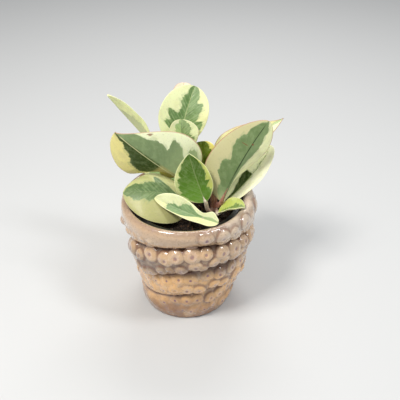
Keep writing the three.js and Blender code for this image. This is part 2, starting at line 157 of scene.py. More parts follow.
# %% Floor and lights
def area_light(name, place, target, size, power, colour=(1, 1, 1)):
    light = bpy.data.lights.new(name, "AREA")
    light.shape, light.size, light.size_y = "RECTANGLE", size[0], size[1]
    light.energy, light.color = power, colour
    lamp = in_scene(name, light)
    lamp.location = place
    lamp.rotation_euler = (Vector(target) - Vector(place)).to_track_quat("-Z", "Y").to_euler()


area_light("window", (-0.4, -0.35, 0.95), (0, 0, 0.1), (0.3, 0.22), 8.0, (1, 0.98, 0.95))
area_light("side_window", (0.5, -0.2, 0.9), (0, 0, 0.1), (0.16, 0.3), 3.5, (0.95, 0.97, 1))
area_light("back", (0.1, 0.7, 1.0), (0, 0, 0.12), (0.6, 0.4), 5.0)

world = bpy.data.worlds.new("studio")
world.use_nodes = True
sky = {"Color": (0.93, 0.96, 1, 1), "Strength": 0.36}
fill(world.node_tree, world.node_tree.nodes["Background"], sky)
bpy.context.scene.world = world

FLOOR_HALF = 6  # metres
corners = [(x * FLOOR_HALF, y * FLOOR_HALF, 0) for x, y in [(-1, -1), (1, -1), (1, 1), (-1, 1)]]
floor_mesh = bpy.data.meshes.new("floor")
floor_mesh.from_pydata(corners, [], [(0, 1, 2, 3)])
floor = in_scene("floor", floor_mesh)
paper, _, _ = new_finish("pale_paper", (0.62, 0.62, 0.61, 1), 0.8)
floor_mesh.materials.append(paper)

# %% [markdown]
# ## Grain
#
# Fired clay, plastic, potting mix and plant skin all have a fine irregular grain. It is one noise
# pattern at different scales, so it is built once as a node group and each finish sets its own
# scale and contrast.


# %% Grain group
def make_grain():
    tree = bpy.data.node_groups.new("Grain", "ShaderNodeTree")
    for name in ("Vector", "Scale", "Low", "High"):
        kind = "NodeSocketVector" if name == "Vector" else "NodeSocketFloat"
        tree.interface.new_socket(name, in_out="INPUT", socket_type=kind)
    tree.interface.new_socket("Value", in_out="OUTPUT", socket_type="NodeSocketFloat")
    inside = tree.nodes.new("NodeGroupInput").outputs
    inputs = {"Vector": inside["Vector"], "Scale": inside["Scale"], "Detail": 3.0, "Roughness": 0.6}
    noise = add(tree, "ShaderNodeTexNoise", inputs)
    value = step(tree, noise.outputs[0], inside["Low"], inside["High"])
    add(tree, "NodeGroupOutput", {"Value": value})
    return tree


grain_group = make_grain()


def grain(tree, vector, scale, low=0.35, high=0.65):
    inputs = {"Vector": vector, "Scale": scale, "Low": low, "High": high}
    return add(tree, "ShaderNodeGroup", inputs, node_tree=grain_group).outputs["Value"]


def object_place(tree):
    return tree.nodes.new("ShaderNodeTexCoord").outputs["Object"]


def attribute(tree, name, output="Fac"):
    return add(tree, "ShaderNodeAttribute", attribute_name=name).outputs[output]


def bump(tree, shader, height, distance, strength):
    node = add(tree, "ShaderNodeBump", {"Height": height, "Distance": distance, "Strength": strength})
    tree.links.new(node.outputs["Normal"], shader.inputs["Normal"])


print("grain sockets:", [item.name for item in grain_group.interface.items_tree])

# %% [markdown]
# ## Making meshes from rings
#
# Most pieces here are a skin over rings of points: the planter's wall, the soil, each blade. The
# rings come from formulas with numpy, and one helper joins them and closes both ends with a fan.


# %% Skin over rings
def around(turn, radius, z):
    """Points round the axis. Turn 0 is on the right, 0.25 behind, 0.5 on the left, 0.75 in front."""
    angle = 2 * np.pi * turn
    return np.stack([radius * np.cos(angle), radius * np.sin(angle), z + turn * 0], -1)


def skin(rings):
    """Points and faces over closed rings, given as an array of rings x points x 3."""
    rows, columns, _ = rings.shape
    points = rings.reshape(-1, 3)
    here = np.arange(columns)
    after = np.roll(here, -1)
    faces = []
    for row in range(rows - 1):
        a, b = here + row * columns, after + row * columns
        faces += np.stack([a, b, b + columns, a + columns], 1).tolist()
    last = (rows - 1) * columns
    poles = [rings[0].mean(0), rings[-1].mean(0)]
    faces += [[b, a, len(points)] for a, b in zip(here.tolist(), after.tolist())]
    faces += [[a + last, b + last, len(points) + 1] for a, b in zip(here.tolist(), after.tolist())]
    return np.vstack([points, poles]), faces


# %% Mesh objects and their values
def mesh_piece(name, points, faces, materials=()):
    """A smooth mesh object at the origin, from points in millimetres."""
    mesh = bpy.data.meshes.new(name)
    mesh.from_pydata((np.asarray(points) * MM).tolist(), [], faces)
    for material in materials:
        mesh.materials.append(material)
    mesh.shade_smooth()
    mesh.update()
    return in_scene(name, mesh)


def store(piece, name, values, kind="FLOAT"):
    """Stores a value, a vector or a colour at each point of the mesh."""
    layer = piece.data.attributes.new(name, kind, "POINT")
    field = {"FLOAT": "value", "FLOAT_VECTOR": "vector", "FLOAT_COLOR": "color"}[kind]
    layer.data.foreach_set(field, np.asarray(values, np.float32).ravel())


def smooth(low, high, x):
    t = np.clip((x - low) / (high - low), 0, 1)
    return t * t * (3 - 2 * t)


# %% [markdown]
# ## Geometry Nodes trees
#
# A tree is built by hand once, with named inputs, and used on several pieces. Each one ends by
# making instances real and setting the finish. The result is turned into a plain mesh at once, so
# that nothing depends on a live modifier later.


# %% Building a tree
def new_tree(name, **inputs):
    """A tree with a geometry in, a geometry out, a finish, and the named inputs with defaults."""
    tree = bpy.data.node_groups.new(name, "GeometryNodeTree")
    tree.interface.new_socket("Geometry", in_out="OUTPUT", socket_type="NodeSocketGeometry")
    tree.interface.new_socket("Geometry", in_out="INPUT", socket_type="NodeSocketGeometry")
    tree.interface.new_socket("Finish", in_out="INPUT", socket_type="NodeSocketMaterial")
    kinds = {float: "Float", int: "Int", bpy.types.Object: "Object"}
    for label, value in inputs.items():
        is_kind = isinstance(value, type)
        kind = "NodeSocket" + kinds[value if is_kind else type(value)]
        label = label.replace("_", " ").capitalize()
        socket = tree.interface.new_socket(label, in_out="INPUT", socket_type=kind)
        if not is_kind:
            socket.default_value = value
    return tree, tree.nodes.new("NodeGroupInput").outputs


def keep_value(tree, shape, name, value):
    """Stores a value at each point, for the finish to read."""
    inputs = {"Geometry": shape, "Name": name, "Value": value}
    return add(tree, "GeometryNodeStoreNamedAttribute", inputs, data_type="FLOAT").outputs[0]


def end_tree(tree, shape, finish):
    real = add(tree, "GeometryNodeRealizeInstances", {"Geometry": shape}).outputs[0]
    done = add(tree, "GeometryNodeSetMaterial", {"Geometry": real, "Material": finish}).outputs[0]
    add(tree, "NodeGroupOutput", {"Geometry": done})


# %% Running a tree
def plain_mesh(piece):
    """The mesh that a piece's modifiers give, with the modifiers taken off."""
    graph = bpy.context.evaluated_depsgraph_get()
    shown = piece.evaluated_get(graph)
    mesh = bpy.data.meshes.new_from_object(shown, preserve_all_data_layers=True, depsgraph=graph)
    piece.modifiers.clear()
    return mesh


def run_tree(piece, tree, **values):
    """Runs a tree on a piece and keeps the result as a plain mesh object of the same name."""
    modifier = piece.modifiers.new(tree.name, "NODES")
    modifier.node_group = tree
    for item in tree.interface.items_tree:
        key = item.name.lower().replace(" ", "_")
        if item.in_out == "INPUT" and key in values:
            modifier[item.identifier] = values[key]
    name, mesh = piece.name, plain_mesh(piece)
    bpy.data.objects.remove(piece)
    mesh.name = name
    return in_scene(name, mesh)


# %% [markdown]
# ## Planter: the wall and its coils
#
# The planter is thrown or coiled clay whose wall swells into four thick bands that climb round it.
# A sculpting tool could push them out by hand, but their edges follow simple waves round the pot,
# so the wall is computed: a radius for each angle and height, with the edge of each band as a row
# of the mesh. Turn 0 is on the right, 0.25 behind, 0.5 on the left and 0.75 in front.

# %% Sizes of the planter
PLANTER_HEIGHT, LIP_START, MOUTH_RADIUS = 112.5, 106.0, 50.6
FOOT_RADIUS, FOOT_EDGE, INSIDE_FLOOR = 38.0, 1.5, 10.0
COLUMNS, COIL_ROWS, FOOT_ROWS, LIP_ROWS = 540, 36, 5, 15
# An edge between coils: its mean height, the turn where it peaks and by how much, and then the
# size and the peak of a second wave, which goes up and down twice.
EDGES = [(28, 0.9, 7, 3, 0.83), (54, 0.92, 16, 2, 0.75), (82, 0.83, 8, 4, 0.75)]
TOP_OF_COIL = 0.99999  # just under the next coil
# The inside, from below the lip down to the floor: radius and height.
INSIDE = [(MOUTH_RADIUS, 100), (47, 96), (43, 55), (38.5, 12), (37.5, 10.4), (36.5, INSIDE_FLOOR)]


def wave(turn, peak, reach):
    return reach * np.cos(2 * np.pi * (turn - peak))


def coil_edges(turn):
    """Heights between the coils at an angle, from the foot's edge up to the rim."""
    between = [
        height + wave(turn, peak, reach) + twofold * np.cos(4 * np.pi * (turn - second_peak))
        for height, peak, reach, twofold, second_peak in EDGES
    ]
    return [turn * 0 + FOOT_EDGE, *between, turn * 0 + LIP_START]


def wall_height(turn, place):
    """place counts coils up from the foot, so 2.5 is the middle of the third coil."""
    edges = coil_edges(turn)
    coil = min(3, int(place))
    return edges[coil] + (edges[coil + 1] - edges[coil]) * (place - coil)


def coil_radius(turn, z, coil):
    """Radius of the wall, and how high the point stands on its coil, from 0 in the crease."""
    edges = coil_edges(turn)
    lower = turn * 0 - 6 if coil == 0 else edges[coil]
    upper = turn * 0 + 122 if coil == 3 else edges[coil + 1]
    swell = [2.6 - wave(turn, 0, 0.8), 5 + wave(turn, 0, 3), 7.5 + wave(turn, 0, 1), turn * 0 + 8]
    t = 2 * (z - lower) / (upper - lower) - 1
    belly = 3 * np.maximum(0, np.cos(2 * np.pi * turn)) * smooth(0, 90, z)
    wall = 40.3 + 9.5 * (np.maximum(z, 0) / 90) ** 0.8 + belly
    height = np.maximum(0, 1 - t * t) ** 0.55
    return wall + swell[coil] * height, height


# %% Rings of the planter
turn = np.arange(COLUMNS) / COLUMNS


def tilt(turn, z):
    """The whole planter leans a little: its right side stands higher."""
    return z + np.cos(2 * np.pi * turn) * smooth(0, LIP_START, z)


def hand_marks(turn, z, height):
    """The slight unevenness that fingers leave in soft clay. It fades out in the creases."""
    angle = 2 * np.pi * turn
    marks = 0.45 * np.sin(5 * angle + z / 9) + 0.35 * np.sin(9 * angle - z / 6 + 1)
    marks = marks + 0.25 * np.sin(14 * angle + z / 4) + 0.15 * np.sin(23 * angle - z / 3)
    return marks * height * smooth(0, 12, z) * (1 - smooth(LIP_START - 12, LIP_START, z))


rings, on_coil = [], []


def add_ring(radius, z, height=1.0):
    rings.append(around(turn, radius, z))
    on_coil.append(turn * 0 + height)


edge_radius, _ = coil_radius(turn, turn * 0 + FOOT_EDGE, 0)
for a in np.linspace(0, np.pi / 2, FOOT_ROWS)[:-1]:
    add_ring(FOOT_RADIUS + (edge_radius - FOOT_RADIUS) * np.sin(a), FOOT_EDGE * (1 - np.cos(a)))
for coil in range(4):
    share = 0.5 - 0.5 * np.cos(np.pi * np.arange(COIL_ROWS + 1) / COIL_ROWS)
    for s in share[(0 if coil == 0 else 1) :]:
        z = wall_height(turn, coil + min(s, TOP_OF_COIL))
        radius, height = coil_radius(turn, z, coil)
        add_ring(radius + hand_marks(turn, z, height), tilt(turn, z), height)
lip_radius, _ = coil_radius(turn, turn * 0 + LIP_START, 3)
lip_rise = (PLANTER_HEIGHT - LIP_START) * (1 + 0.03 * np.sin(6 * np.pi * turn))
for a in np.linspace(0, np.pi, LIP_ROWS)[1:]:
    radius = (lip_radius + MOUTH_RADIUS) / 2 + (lip_radius - MOUTH_RADIUS) / 2 * np.cos(a)
    add_ring(radius, tilt(turn, turn * 0 + LIP_START) + lip_rise * np.sin(a))
for radius, z in INSIDE:
    add_ring(radius, z)
wall_points, wall_faces = skin(np.array(rings))
print("planter points:", len(wall_points))

# %% [markdown]
# ## Planter: suckers
#
# Rows of round suckers sit on the coils, each a soft dome with a small pit, pressed against its
# neighbours and hanging a little, so that its lower edge is crisper. They repeat along the coils,
# so a Geometry Nodes tree raises them: it looks up the nearest centre for every point of the wall
# and lifts the point by a profile of the distance. Neighbours are in two sets, and the higher of
# the two wins, which leaves a clean valley between them. The distance itself is kept, because the
# glaze pools round a sucker and shows purple in its pit.

# %% Where the suckers sit
# Each row: its place on the coils, the turns from and to, and the steps between suckers. Then
# where the row starts and where its suckers are fully grown: radius and rise. Last is the pit.
SUCKER_ROWS = [
    (3.86, 0.8, 1.3, 4, (6.6, 6.6), (2, 2), 0.7),
    (3.5, 0.44, 0.67, 2.6, (4.6, 3.6), (1.9, 1.2), 0.3),
    (3.3, 0.855, 1.42, 4, (6.0, 6.2), (1.6, 1.8), 0.5),
    (2.74, 0.55, 1.36, 4, (7.4, 7.8), (2.6, 3), 1.4),
    (2.28, 0.6, 1.34, 3, (5.0, 6.6), (2.5, 2.7), 0.8),
    (1.72, 0.62, 1.5, 4, (5.6, 6.8), (0.6, 1.8), 0.7),
    (1.28, 0.64, 1.45, 4, (5.2, 7.0), (0.7, 2.8), 0.8),
    (0.72, 0.68, 1.2, 4, (5.6, 7.2), (0.8, 3.1), 0.9),
    (0.3, 0.69, 1.16, 4, (5.0, 5.8), (0.6, 1.8), 0.6),
]
AROUND = 108  # steps round the planter's solid
GROWTH = 0.22  # turns over which the suckers of a row grow


def sucker_set(name, chosen):
    """The centres of every second sucker, so that neighbours are in different sets."""
    centres, sizes, rises, pits = [], [], [], []
    shuffle = np.random.default_rng(7)
    for row, (place, start, end, apart, size, rise, pit) in enumerate(SUCKER_ROWS):
        for i, column in enumerate(np.arange(0, (end - start) * AROUND + 1, apart)):
            slide, lift, wider, higher, deeper = shuffle.uniform(-1, 1, 5)
            if (i + row) % 2 != chosen:
                continue
            grown = column / AROUND / GROWTH
            at = np.array([(math.floor(start * AROUND + 0.5) + column + 0.7 * slide) / AROUND])
            z = wall_height(at, place + 0.09 * lift)
            radius, height = coil_radius(at, z, int(place))
            centres.append(around(at, radius + hand_marks(at, z, height), tilt(at, z))[0])
            sizes.append(np.interp(grown, [0, 1], size) * (1 + 0.2 * wider) * MM)
            rises.append(np.interp(grown, [0, 1], rise) * (1 + 0.18 * higher) * MM)
            pits.append(pit * (0.75 + 0.35 * deeper) * MM)
    piece = mesh_piece(name, centres, [])
    for label, values in (("size", sizes), ("rise", rises), ("pit", pits)):
        store(piece, label, values)
    return piece


even_suckers, odd_suckers = sucker_set("even_suckers", 0), sucker_set("odd_suckers", 1)
print("suckers:", len(even_suckers.data.vertices) + len(odd_suckers.data.vertices))


# %% Nearest sucker
def nearest_sucker(tree, centres, hang):
    """How far off the nearest sucker is, as a share of its radius, with its rise and pit."""
    here = tree.nodes.new("GeometryNodeInputPosition").outputs[0]
    target = add(tree, "GeometryNodeObjectInfo", {"Object": centres}).outputs["Geometry"]
    nearest = add(tree, "GeometryNodeSampleNearest", {"Geometry": target, "Sample Position": here})

    def at_centre(field, kind="FLOAT"):
        inputs = {"Geometry": target, "Value": field, "Index": nearest.outputs["Index"]}
        return add(tree, "GeometryNodeSampleIndex", inputs, data_type=kind).outputs[0]

    def named(name):
        node = add(tree, "GeometryNodeInputNamedAttribute", {"Name": name}, data_type="FLOAT")
        return at_centre(node.outputs[0])

    middle = at_centre(here, "FLOAT_VECTOR")
    gap = add(tree, "ShaderNodeVectorMath", {0: here, 1: middle}, operation="SUBTRACT")
    x, y, z = split(tree, gap.outputs[0])
    below = times(tree, math_node(tree, "MINIMUM", z, 0.0), hang)
    z = scaled(tree, math_node(tree, "MAXIMUM", z, 0.0), 0.86, below)
    span = add(tree, "ShaderNodeCombineXYZ", {"X": x, "Y": y, "Z": z}).outputs[0]
    span = add(tree, "ShaderNodeVectorMath", {0: span}, operation="LENGTH").outputs["Value"]
    return math_node(tree, "DIVIDE", span, named("size")), named("rise"), named("pit")


# %% Tree that raises the suckers
def sucker_tree():
    tree, given = new_tree(
        "Raise suckers", even=bpy.types.Object, odd=bpy.types.Object, pit_width=0.24, hang=1.22
    )

    def dome(away, rise):
        inner = math_node(tree, "SUBTRACT", 1.0, times(tree, away, away), clamp=True)
        return times(tree, math_node(tree, "POWER", inner, 0.58), rise)

    def either(choice, first, second):
        return add(tree, "ShaderNodeMix", {0: choice, 2: first, 3: second}).outputs[0]

    def bell(x):
        """1 at 0, and less and less to both sides."""
        return math_node(tree, "EXPONENT", times(tree, x, x, -1.0))

    away_even, rise_even, pit_even = nearest_sucker(tree, given["Even"], given["Hang"])
    away_odd, rise_odd, pit_odd = nearest_sucker(tree, given["Odd"], given["Hang"])
    away = math_node(tree, "MINIMUM", away_even, away_odd)
    odd_nearer = math_node(tree, "LESS_THAN", away_odd, away_even)
    rise, pit = either(odd_nearer, rise_even, rise_odd), either(odd_nearer, pit_even, pit_odd)
    height = math_node(tree, "MAXIMUM", dome(away_even, rise_even), dome(away_odd, rise_odd))
    hollow = times(tree, bell(math_node(tree, "DIVIDE", away, given["Pit width"])), pit)
    height = math_node(tree, "SUBTRACT", height, hollow)
    lip = bell(math_node(tree, "DIVIDE", math_node(tree, "SUBTRACT", away, 0.38), 0.11))
    height = scaled(tree, times(tree, lip, rise), 0.1, height)
    normal = tree.nodes.new("GeometryNodeInputNormal").outputs[0]
    offset = add(tree, "ShaderNodeVectorMath", {0: normal, "Scale": height}, operation="SCALE")
    shape = keep_value(tree, given["Geometry"], "away", math_node(tree, "MINIMUM", away, 2.0))
    shape = keep_value(tree, shape, "rise", rise)
    lifted = add(tree, "GeometryNodeSetPosition", {"Geometry": shape, "Offset": offset.outputs[0]})
    end_tree(tree, lifted.outputs[0], given["Finish"])
    return tree


# %% [markdown]
# ## Planter: glaze
#
# The glaze is glossy and uneven: ochre on the lower coils, greyer and paler towards the rim, brown
# where it pooled in the creases and round the suckers, with lavender clouds, fine specks and a few
# pinholes. Painted shade darkens a belt under the second coil's suckers, the top of the lip and, in
# part, the foot; painted light pales the upper right side. It is built up in layers: each is a mask
# from the height, the side, the kept coil height and sucker distance, or the grain, with its
# strength and tint. The foot's underside is bare clay.


# %% Glaze
def make_glaze():
    material, tree, shader = new_finish("crackled_ochre_glaze", tint(200, 165, 120), 0.2)
    place = object_place(tree)
    x, _, height = split(tree, place)
    coil, away = attribute(tree, "on_coil"), attribute(tree, "away")
    tall = step(tree, attribute(tree, "rise"), 0.0011, 0.0025)
    clouds = grain(tree, place, 38.0, 0.3, 0.7)
    drift = scaled(tree, clouds, 0.03, height)
    off_dome = step(tree, away, 0.6, 0.92, 0.4, 1.0)
    # Painted light: the upper right side of the planter is paler, as a painted highlight.
    painted_light_side = times(tree, step(tree, x, 0.015, 0.045), step(tree, height, 0.08, 0.1))
    # Painted shade: a dark belt under the second coil's suckers, where the wall turns away from the
    # light.
    painted_shade_belt = times(
        tree, band(tree, height, 0.056, 0.064, 0.07, 0.08),
        step(tree, away, 0.6, 0.92, 0.7, 1.0), step(tree, away, 1.99, 1.7, 0.25, 1.0),
    )
    pooled = times(tree, step(tree, scaled(tree, clouds, 0.16, coil), 0.78, 0.3), off_dome)
    deep_pool = times(tree, step(tree, scaled(tree, clouds, 0.12, coil), 0.6, 0.15), off_dome)
    moat = times(tree, band(tree, away, 0.72, 1.0, 1.0, 1.5), tall)
    outline = times(tree, band(tree, away, 0.82, 0.95, 0.97, 1.1), scaled(tree, tall, 0.4, 0.1))
    halo = times(tree, band(tree, away, 0.2, 0.3, 0.36, 0.5), clouds)
    dot = times(
        tree, step(tree, away, 0.25, 0.12), scaled(tree, tall, -0.4, 1.0),
        grain(tree, place, 55.0, 0.2, 0.5),
    )
    pores = add(tree, "ShaderNodeTexVoronoi", {"Vector": place, "Scale": 110.0})
    draw = add(tree, "ShaderNodeSeparateColor", {0: pores.outputs["Color"]}).outputs[0]
    rare = math_node(tree, "GREATER_THAN", draw, 0.72)
    pinholes = times(tree, step(tree, pores.outputs["Distance"], 0.1, 0.06), rare)
    clay = step(tree, height, 0.0006, 0.0003)
    # Darker brown towards the foot: partly the glaze's own colour, partly painted shade under the light
    # from above.
    lower = blend(tree, step(tree, drift, 0.014, 0.06), tint(158, 114, 78), tint(238, 186, 122))
    colour = lay(
        tree, lower,
        (step(tree, drift, 0.062, 0.09), 1, tint(214, 178, 138)),
        (step(tree, drift, 0.103, 0.122), 1, tint(208, 177, 145)),
        # Painted shade: the top of the lip is darker, to take back the light that falls on it from
        # above.
        (step(tree, height, 0.1085, 0.112), 0.8, tint(160, 132, 110)),
        (painted_light_side, 0.5, tint(226, 212, 192)),
        (painted_shade_belt, 0.8, tint(96, 72, 58)),
        (grain(tree, place, 120.0, 0.54, 0.72), 0.35, tint(180, 152, 158)),
        (grain(tree, place, 75.0, 0.56, 0.75), 0.45, tint(228, 204, 172)),
        (grain(tree, place, 650.0, 0.58, 0.68), 0.45, tint(134, 100, 80)),
        (grain(tree, place, 420.0, 0.58, 0.7), 0.3, tint(240, 218, 188)),
        (pooled, 0.6, tint(146, 118, 110)),
        (deep_pool, 0.8, tint(120, 88, 72)),
        (moat, 0.7, tint(104, 78, 64)),
        (outline, 0.8, tint(150, 96, 70)),
        (halo, 0.4, tint(220, 194, 184)),
        (dot, 0.95, tint(118, 78, 108)),
        (pinholes, 1, tint(52, 34, 26)),
        (clay, 1, tint(190, 150, 118)),
    )
    rough = math_node(tree, "MAXIMUM", step(tree, clouds, 0.0, 1.0, 0.16, 0.3), times(tree, clay, 0.85))
    fill(tree, shader, {
        "Base Color": colour, "Roughness": rough, "Coat Weight": 1.0, "Coat Roughness": 0.04,
    })
    swells = grain(tree, place, 60.0, 0.2, 0.8)
    relief = scaled(tree, swells, 3.0, grain(tree, place, 260.0, 0.2, 0.8))
    bump(tree, shader, scaled(tree, pinholes, -1.0, relief), 0.0003, 0.6)
    return material


glaze = make_glaze()
print("nodes in the glaze:", len(glaze.node_tree.nodes))

# %% Finished planter
planter = mesh_piece("planter_wall", wall_points, wall_faces)
store(planter, "on_coil", np.append(np.array(on_coil).ravel(), [1, 1]))
planter = run_tree(planter, sucker_tree(), even=even_suckers, odd=odd_suckers, finish=glaze)
for centres in (even_suckers, odd_suckers):
    bpy.data.objects.remove(centres)
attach(planter, "root")
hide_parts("planter")
print("planter triangles:", sum(len(p.vertices) - 2 for p in planter.data.polygons))

# %% [markdown]
# ## Nursery pot
#
# The plant still grows in the thin black pot that it was sold in. Its rolled rim shows as a dark
# line inside the planter's mouth. Such a pot is moulded, so it is one profile turned round the
# axis. Its six drain holes are cut through the floor by a boolean, as a punch would do it.


# %% Plastic of the pot
def make_plastic():
    material, tree, shader = new_finish("black_pot_plastic", tint(22, 22, 23), 0.38)
    place = object_place(tree)
    scuffs = grain(tree, place, 90.0, 0.5, 0.75)
    colour = blend(tree, scuffs, tint(20, 20, 21), tint(44, 42, 40))
    rough = step(tree, scuffs, 0.0, 1.0, 0.3, 0.5)
    fill(tree, shader, {"Base Color": colour, "Roughness": rough})
    bump(tree, shader, grain(tree, place, 700.0), 0.00005, 0.5)
    return material


plastic = make_plastic()


# %% Turned nursery pot
def arc(radius_middle, height_middle, radius, start, end, steps=5):
    angles = np.radians(np.linspace(start, end, steps))
    return [(radius_middle + radius * np.cos(a), height_middle + radius * np.sin(a)) for a in angles]


POT_TOP, POT_SIDES = 106.5, 120
profile = [(18, 10.3), (26, 10.3), (35, 10.3), *arc(35.2, 11.1, 0.8, -90, -10)]
profile += [(45.6, POT_TOP - 1.7), (45.9, POT_TOP - 1.1), (48.5, POT_TOP - 1.1)]
profile += [(48.5, POT_TOP - 3.7), *arc(49.05, POT_TOP - 3.7, 0.5, -180, 0)]
profile += [*arc(48.6, POT_TOP - 1, 1.0, 0, 90), *arc(45.2, POT_TOP - 0.7, 0.7, 90, 180)]
profile += [(34.9, 11.6), (34.7, 11.4), (26, 11.4), (18, 11.4)]
pot_rings = [around(np.arange(POT_SIDES) / POT_SIDES, radius, z) for radius, z in profile]
nursery_pot = mesh_piece("black_nursery_pot", *skin(np.array(pot_rings)), [plastic])

# %% Drain holes
HOLES, HOLE_RADIUS, HOLES_OUT = 6, 4 * MM, 22 * MM
punches = bmesh.new()
for a in 2 * np.pi * np.arange(HOLES) / HOLES:
    place = Matrix.Translation((HOLES_OUT * math.cos(a), HOLES_OUT * math.sin(a), 11 * MM))
    bmesh.ops.create_cone(
        punches, cap_ends=True, segments=32, radius1=HOLE_RADIUS, radius2=HOLE_RADIUS,
        depth=6 * MM, matrix=place,
    )
punch_mesh = bpy.data.meshes.new("punches")
punches.to_mesh(punch_mesh)
punches.free()
punch = in_scene("punches", punch_mesh)
cut = nursery_pot.modifiers.new("drain_holes", "BOOLEAN")
cut.object, cut.operation, cut.solver = punch, "DIFFERENCE", "MANIFOLD"
nursery_pot.data = plain_mesh(nursery_pot)
nursery_pot.data.shade_smooth()
nursery_pot.data.set_sharp_from_angle(angle=math.radians(50))
bpy.data.objects.remove(punch)
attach(nursery_pot, "root")
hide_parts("nursery_pot")
print("pot points:", len(nursery_pot.data.vertices))

# %% [markdown]
# ## Stems and stalks: a tube that follows a path
#
# A peperomia's stems and leaf stalks are round, fleshy and a little uneven. All of them are the
# same Geometry Nodes tree: a path with a radius at each point becomes a round tube whose radius
# wanders a little.


# %% Path through points
def smooth_path(points, steps):
    """A smooth curve through the points, the centripetal kind, which never loops at a bend."""
    points = [np.asarray(p, float) for p in points]
    ends = [2 * points[0] - points[1], *points, 2 * points[-1] - points[-2]]
    path = []
    for i in range(steps + 1):
        t = i / steps * (len(points) - 1)
        k = min(int(t), len(points) - 2)
        p = ends[k : k + 4]
        d = [max(1e-4, np.linalg.norm(p[j + 1] - p[j]) ** 0.5) for j in range(3)]
        t1 = (p[1] - p[0]) / d[0] - (p[2] - p[0]) / (d[0] + d[1]) + (p[2] - p[1]) / d[1]
        t2 = (p[2] - p[1]) / d[1] - (p[3] - p[1]) / (d[1] + d[2]) + (p[3] - p[2]) / d[2]
        a, b = t1 * d[1], t2 * d[1]
        s = t - k
        cubic = (2 * p[1] - 2 * p[2] + a + b) * s**3 + (-3 * p[1] + 3 * p[2] - 2 * a - b) * s**2
        path.append(cubic + a * s + p[1])
    return np.array(path)


# %% Tree that makes a tube
def tube_tree():
    tree, given = new_tree("Fleshy tube", sides=16, lumpiness=0.06, lump_scale=300.0)
    share = tree.nodes.new("GeometryNodeSplineParameter").outputs["Factor"]
    path = keep_value(tree, given["Geometry"], "along", share)
    noise = add(tree, "ShaderNodeTexNoise", {"Scale": given["Lump scale"], "Detail": 1.0})
    factor = scaled(tree, noise.outputs[0], given["Lumpiness"], 1.0)
    radius = times(tree, tree.nodes.new("GeometryNodeInputRadius").outputs[0], factor)
    inputs = {"Resolution": given["Sides"], "Radius": 1.0}
    circle = add(tree, "GeometryNodeCurvePrimitiveCircle", inputs).outputs[0]
    inputs = {"Curve": path, "Profile Curve": circle, "Scale": radius, "Fill Caps": True}
    tube = add(tree, "GeometryNodeCurveToMesh", inputs)
    soft = add(tree, "GeometryNodeSetShadeSmooth", {"Geometry": tube.outputs[0]})
    end_tree(tree, soft.outputs[0], given["Finish"])
    return tree


fleshy_tube = tube_tree()
PATH_STEPS = 48


def tube(name, points, radii, sides, finish, lumpiness):
    """A tube along a smooth path, with a radius for each of the path's points."""
    curve = bpy.data.curves.new(name, "CURVE")
    curve.dimensions = "3D"
    spline = curve.splines.new("POLY")
    spline.points.add(PATH_STEPS)
    for point, place, radius in zip(spline.points, smooth_path(points, PATH_STEPS), radii):
        point.co = (*(place * MM), 1)
        point.radius = radius * MM
    piece = in_scene(name, curve)
    return run_tree(piece, fleshy_tube, sides=sides, finish=finish, lumpiness=lumpiness)


# %% [markdown]
# The stems are pinkish brown with pale streaks, and swell a little where old leaves fell. The stalks
# are paler, green at the blade and pink at the stem, so they get finishes of their own: a pale one,
# and a pinker one for two leaves on the right.


# %% Stem and stalk finishes
def make_skin(name, near, far, streak):
    material, tree, shader = new_finish(name, near, 0.42)
    place = object_place(tree)
    squeezed = add(tree, "ShaderNodeMapping", {"Vector": place, "Scale": (1, 1, 0.15)}).outputs[0]
    colour = lay(
        tree, blend(tree, step(tree, attribute(tree, "along"), 0.1, 0.9), near, far),
        (grain(tree, squeezed, 900.0, 0.45, 0.7), 1, streak),
        (grain(tree, place, 260.0, 0.5, 0.7), 0.5, tint(92, 60, 44)),
    )
    fill(tree, shader, {
        "Base Color": colour, "Subsurface Weight": 0.1, "Subsurface Radius": (0.002, 0.001, 0.0005),
    })
    bump(tree, shader, grain(tree, squeezed, 1400.0), 0.0001, 0.5)
    return material


stem_skin = make_skin("fleshy_stem_skin", tint(192, 124, 106), tint(168, 128, 98), tint(226, 190, 170))
stalk_skin = make_skin("pale_stalk_skin", tint(210, 162, 150), tint(210, 202, 174), tint(232, 218, 200))
pink_skin = make_skin("pink_stalk_skin", tint(160, 98, 84), tint(164, 118, 96), tint(206, 160, 140))
print("skins:", [skin_finish.name for skin_finish in (stem_skin, stalk_skin, pink_skin)])

# %% Stems
# Each stem: the points that it passes through, and its radii from the root to the top.
STEMS = {
    "right": ([(24, -3, 72), (25, -4, 98), (24, -2, 116), (21, 4, 136)], [3.4, 3.2, 2.9, 2.2]),
    "left": ([(4, 10, 72), (3, 10, 98), (2, 12, 124), (2, 20, 146)], [3.6, 3.4, 3, 2.2]),
    "front": ([(3, -8, 72), (3, -7, 98), (5, -5, 111)], [3, 2.8, 2.2]),
}
OLD_LEAVES = (0.42, 0.55, 0.68, 0.8)  # where leaves fell, as shares of a stem
path_share = np.linspace(0, 1, PATH_STEPS + 1)


def path_radii(radii):
    return np.interp(path_share, np.linspace(0, 1, len(radii)), radii)


for side, (points, radii) in STEMS.items():
    thick = path_radii(radii)
    for place in OLD_LEAVES:
        thick = thick * (1 + 0.07 * np.exp(-(((path_share - place) / 0.018) ** 2)))
    stem = tube(f"stem_{side}_skin", points, thick, 24, stem_skin, 0.05)
    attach(stem, "root")
    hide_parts(f"stem_{side}")
print("stems:", list(STEMS))

# %% [markdown]
# ## Soil
#
# Potting mix is a dark crumbly mass of peat, bark and a few pale grains. A smooth bed keeps the
# volume, and a Geometry Nodes tree scatters crumbs over its top in three passes: many small dark
# ones, fewer bark flakes and a little pale grit. The crumbs have few faces, because there are many.


# %% Bed of soil
SOIL_SIDES, SOIL_RADIUS = 96, 43.2


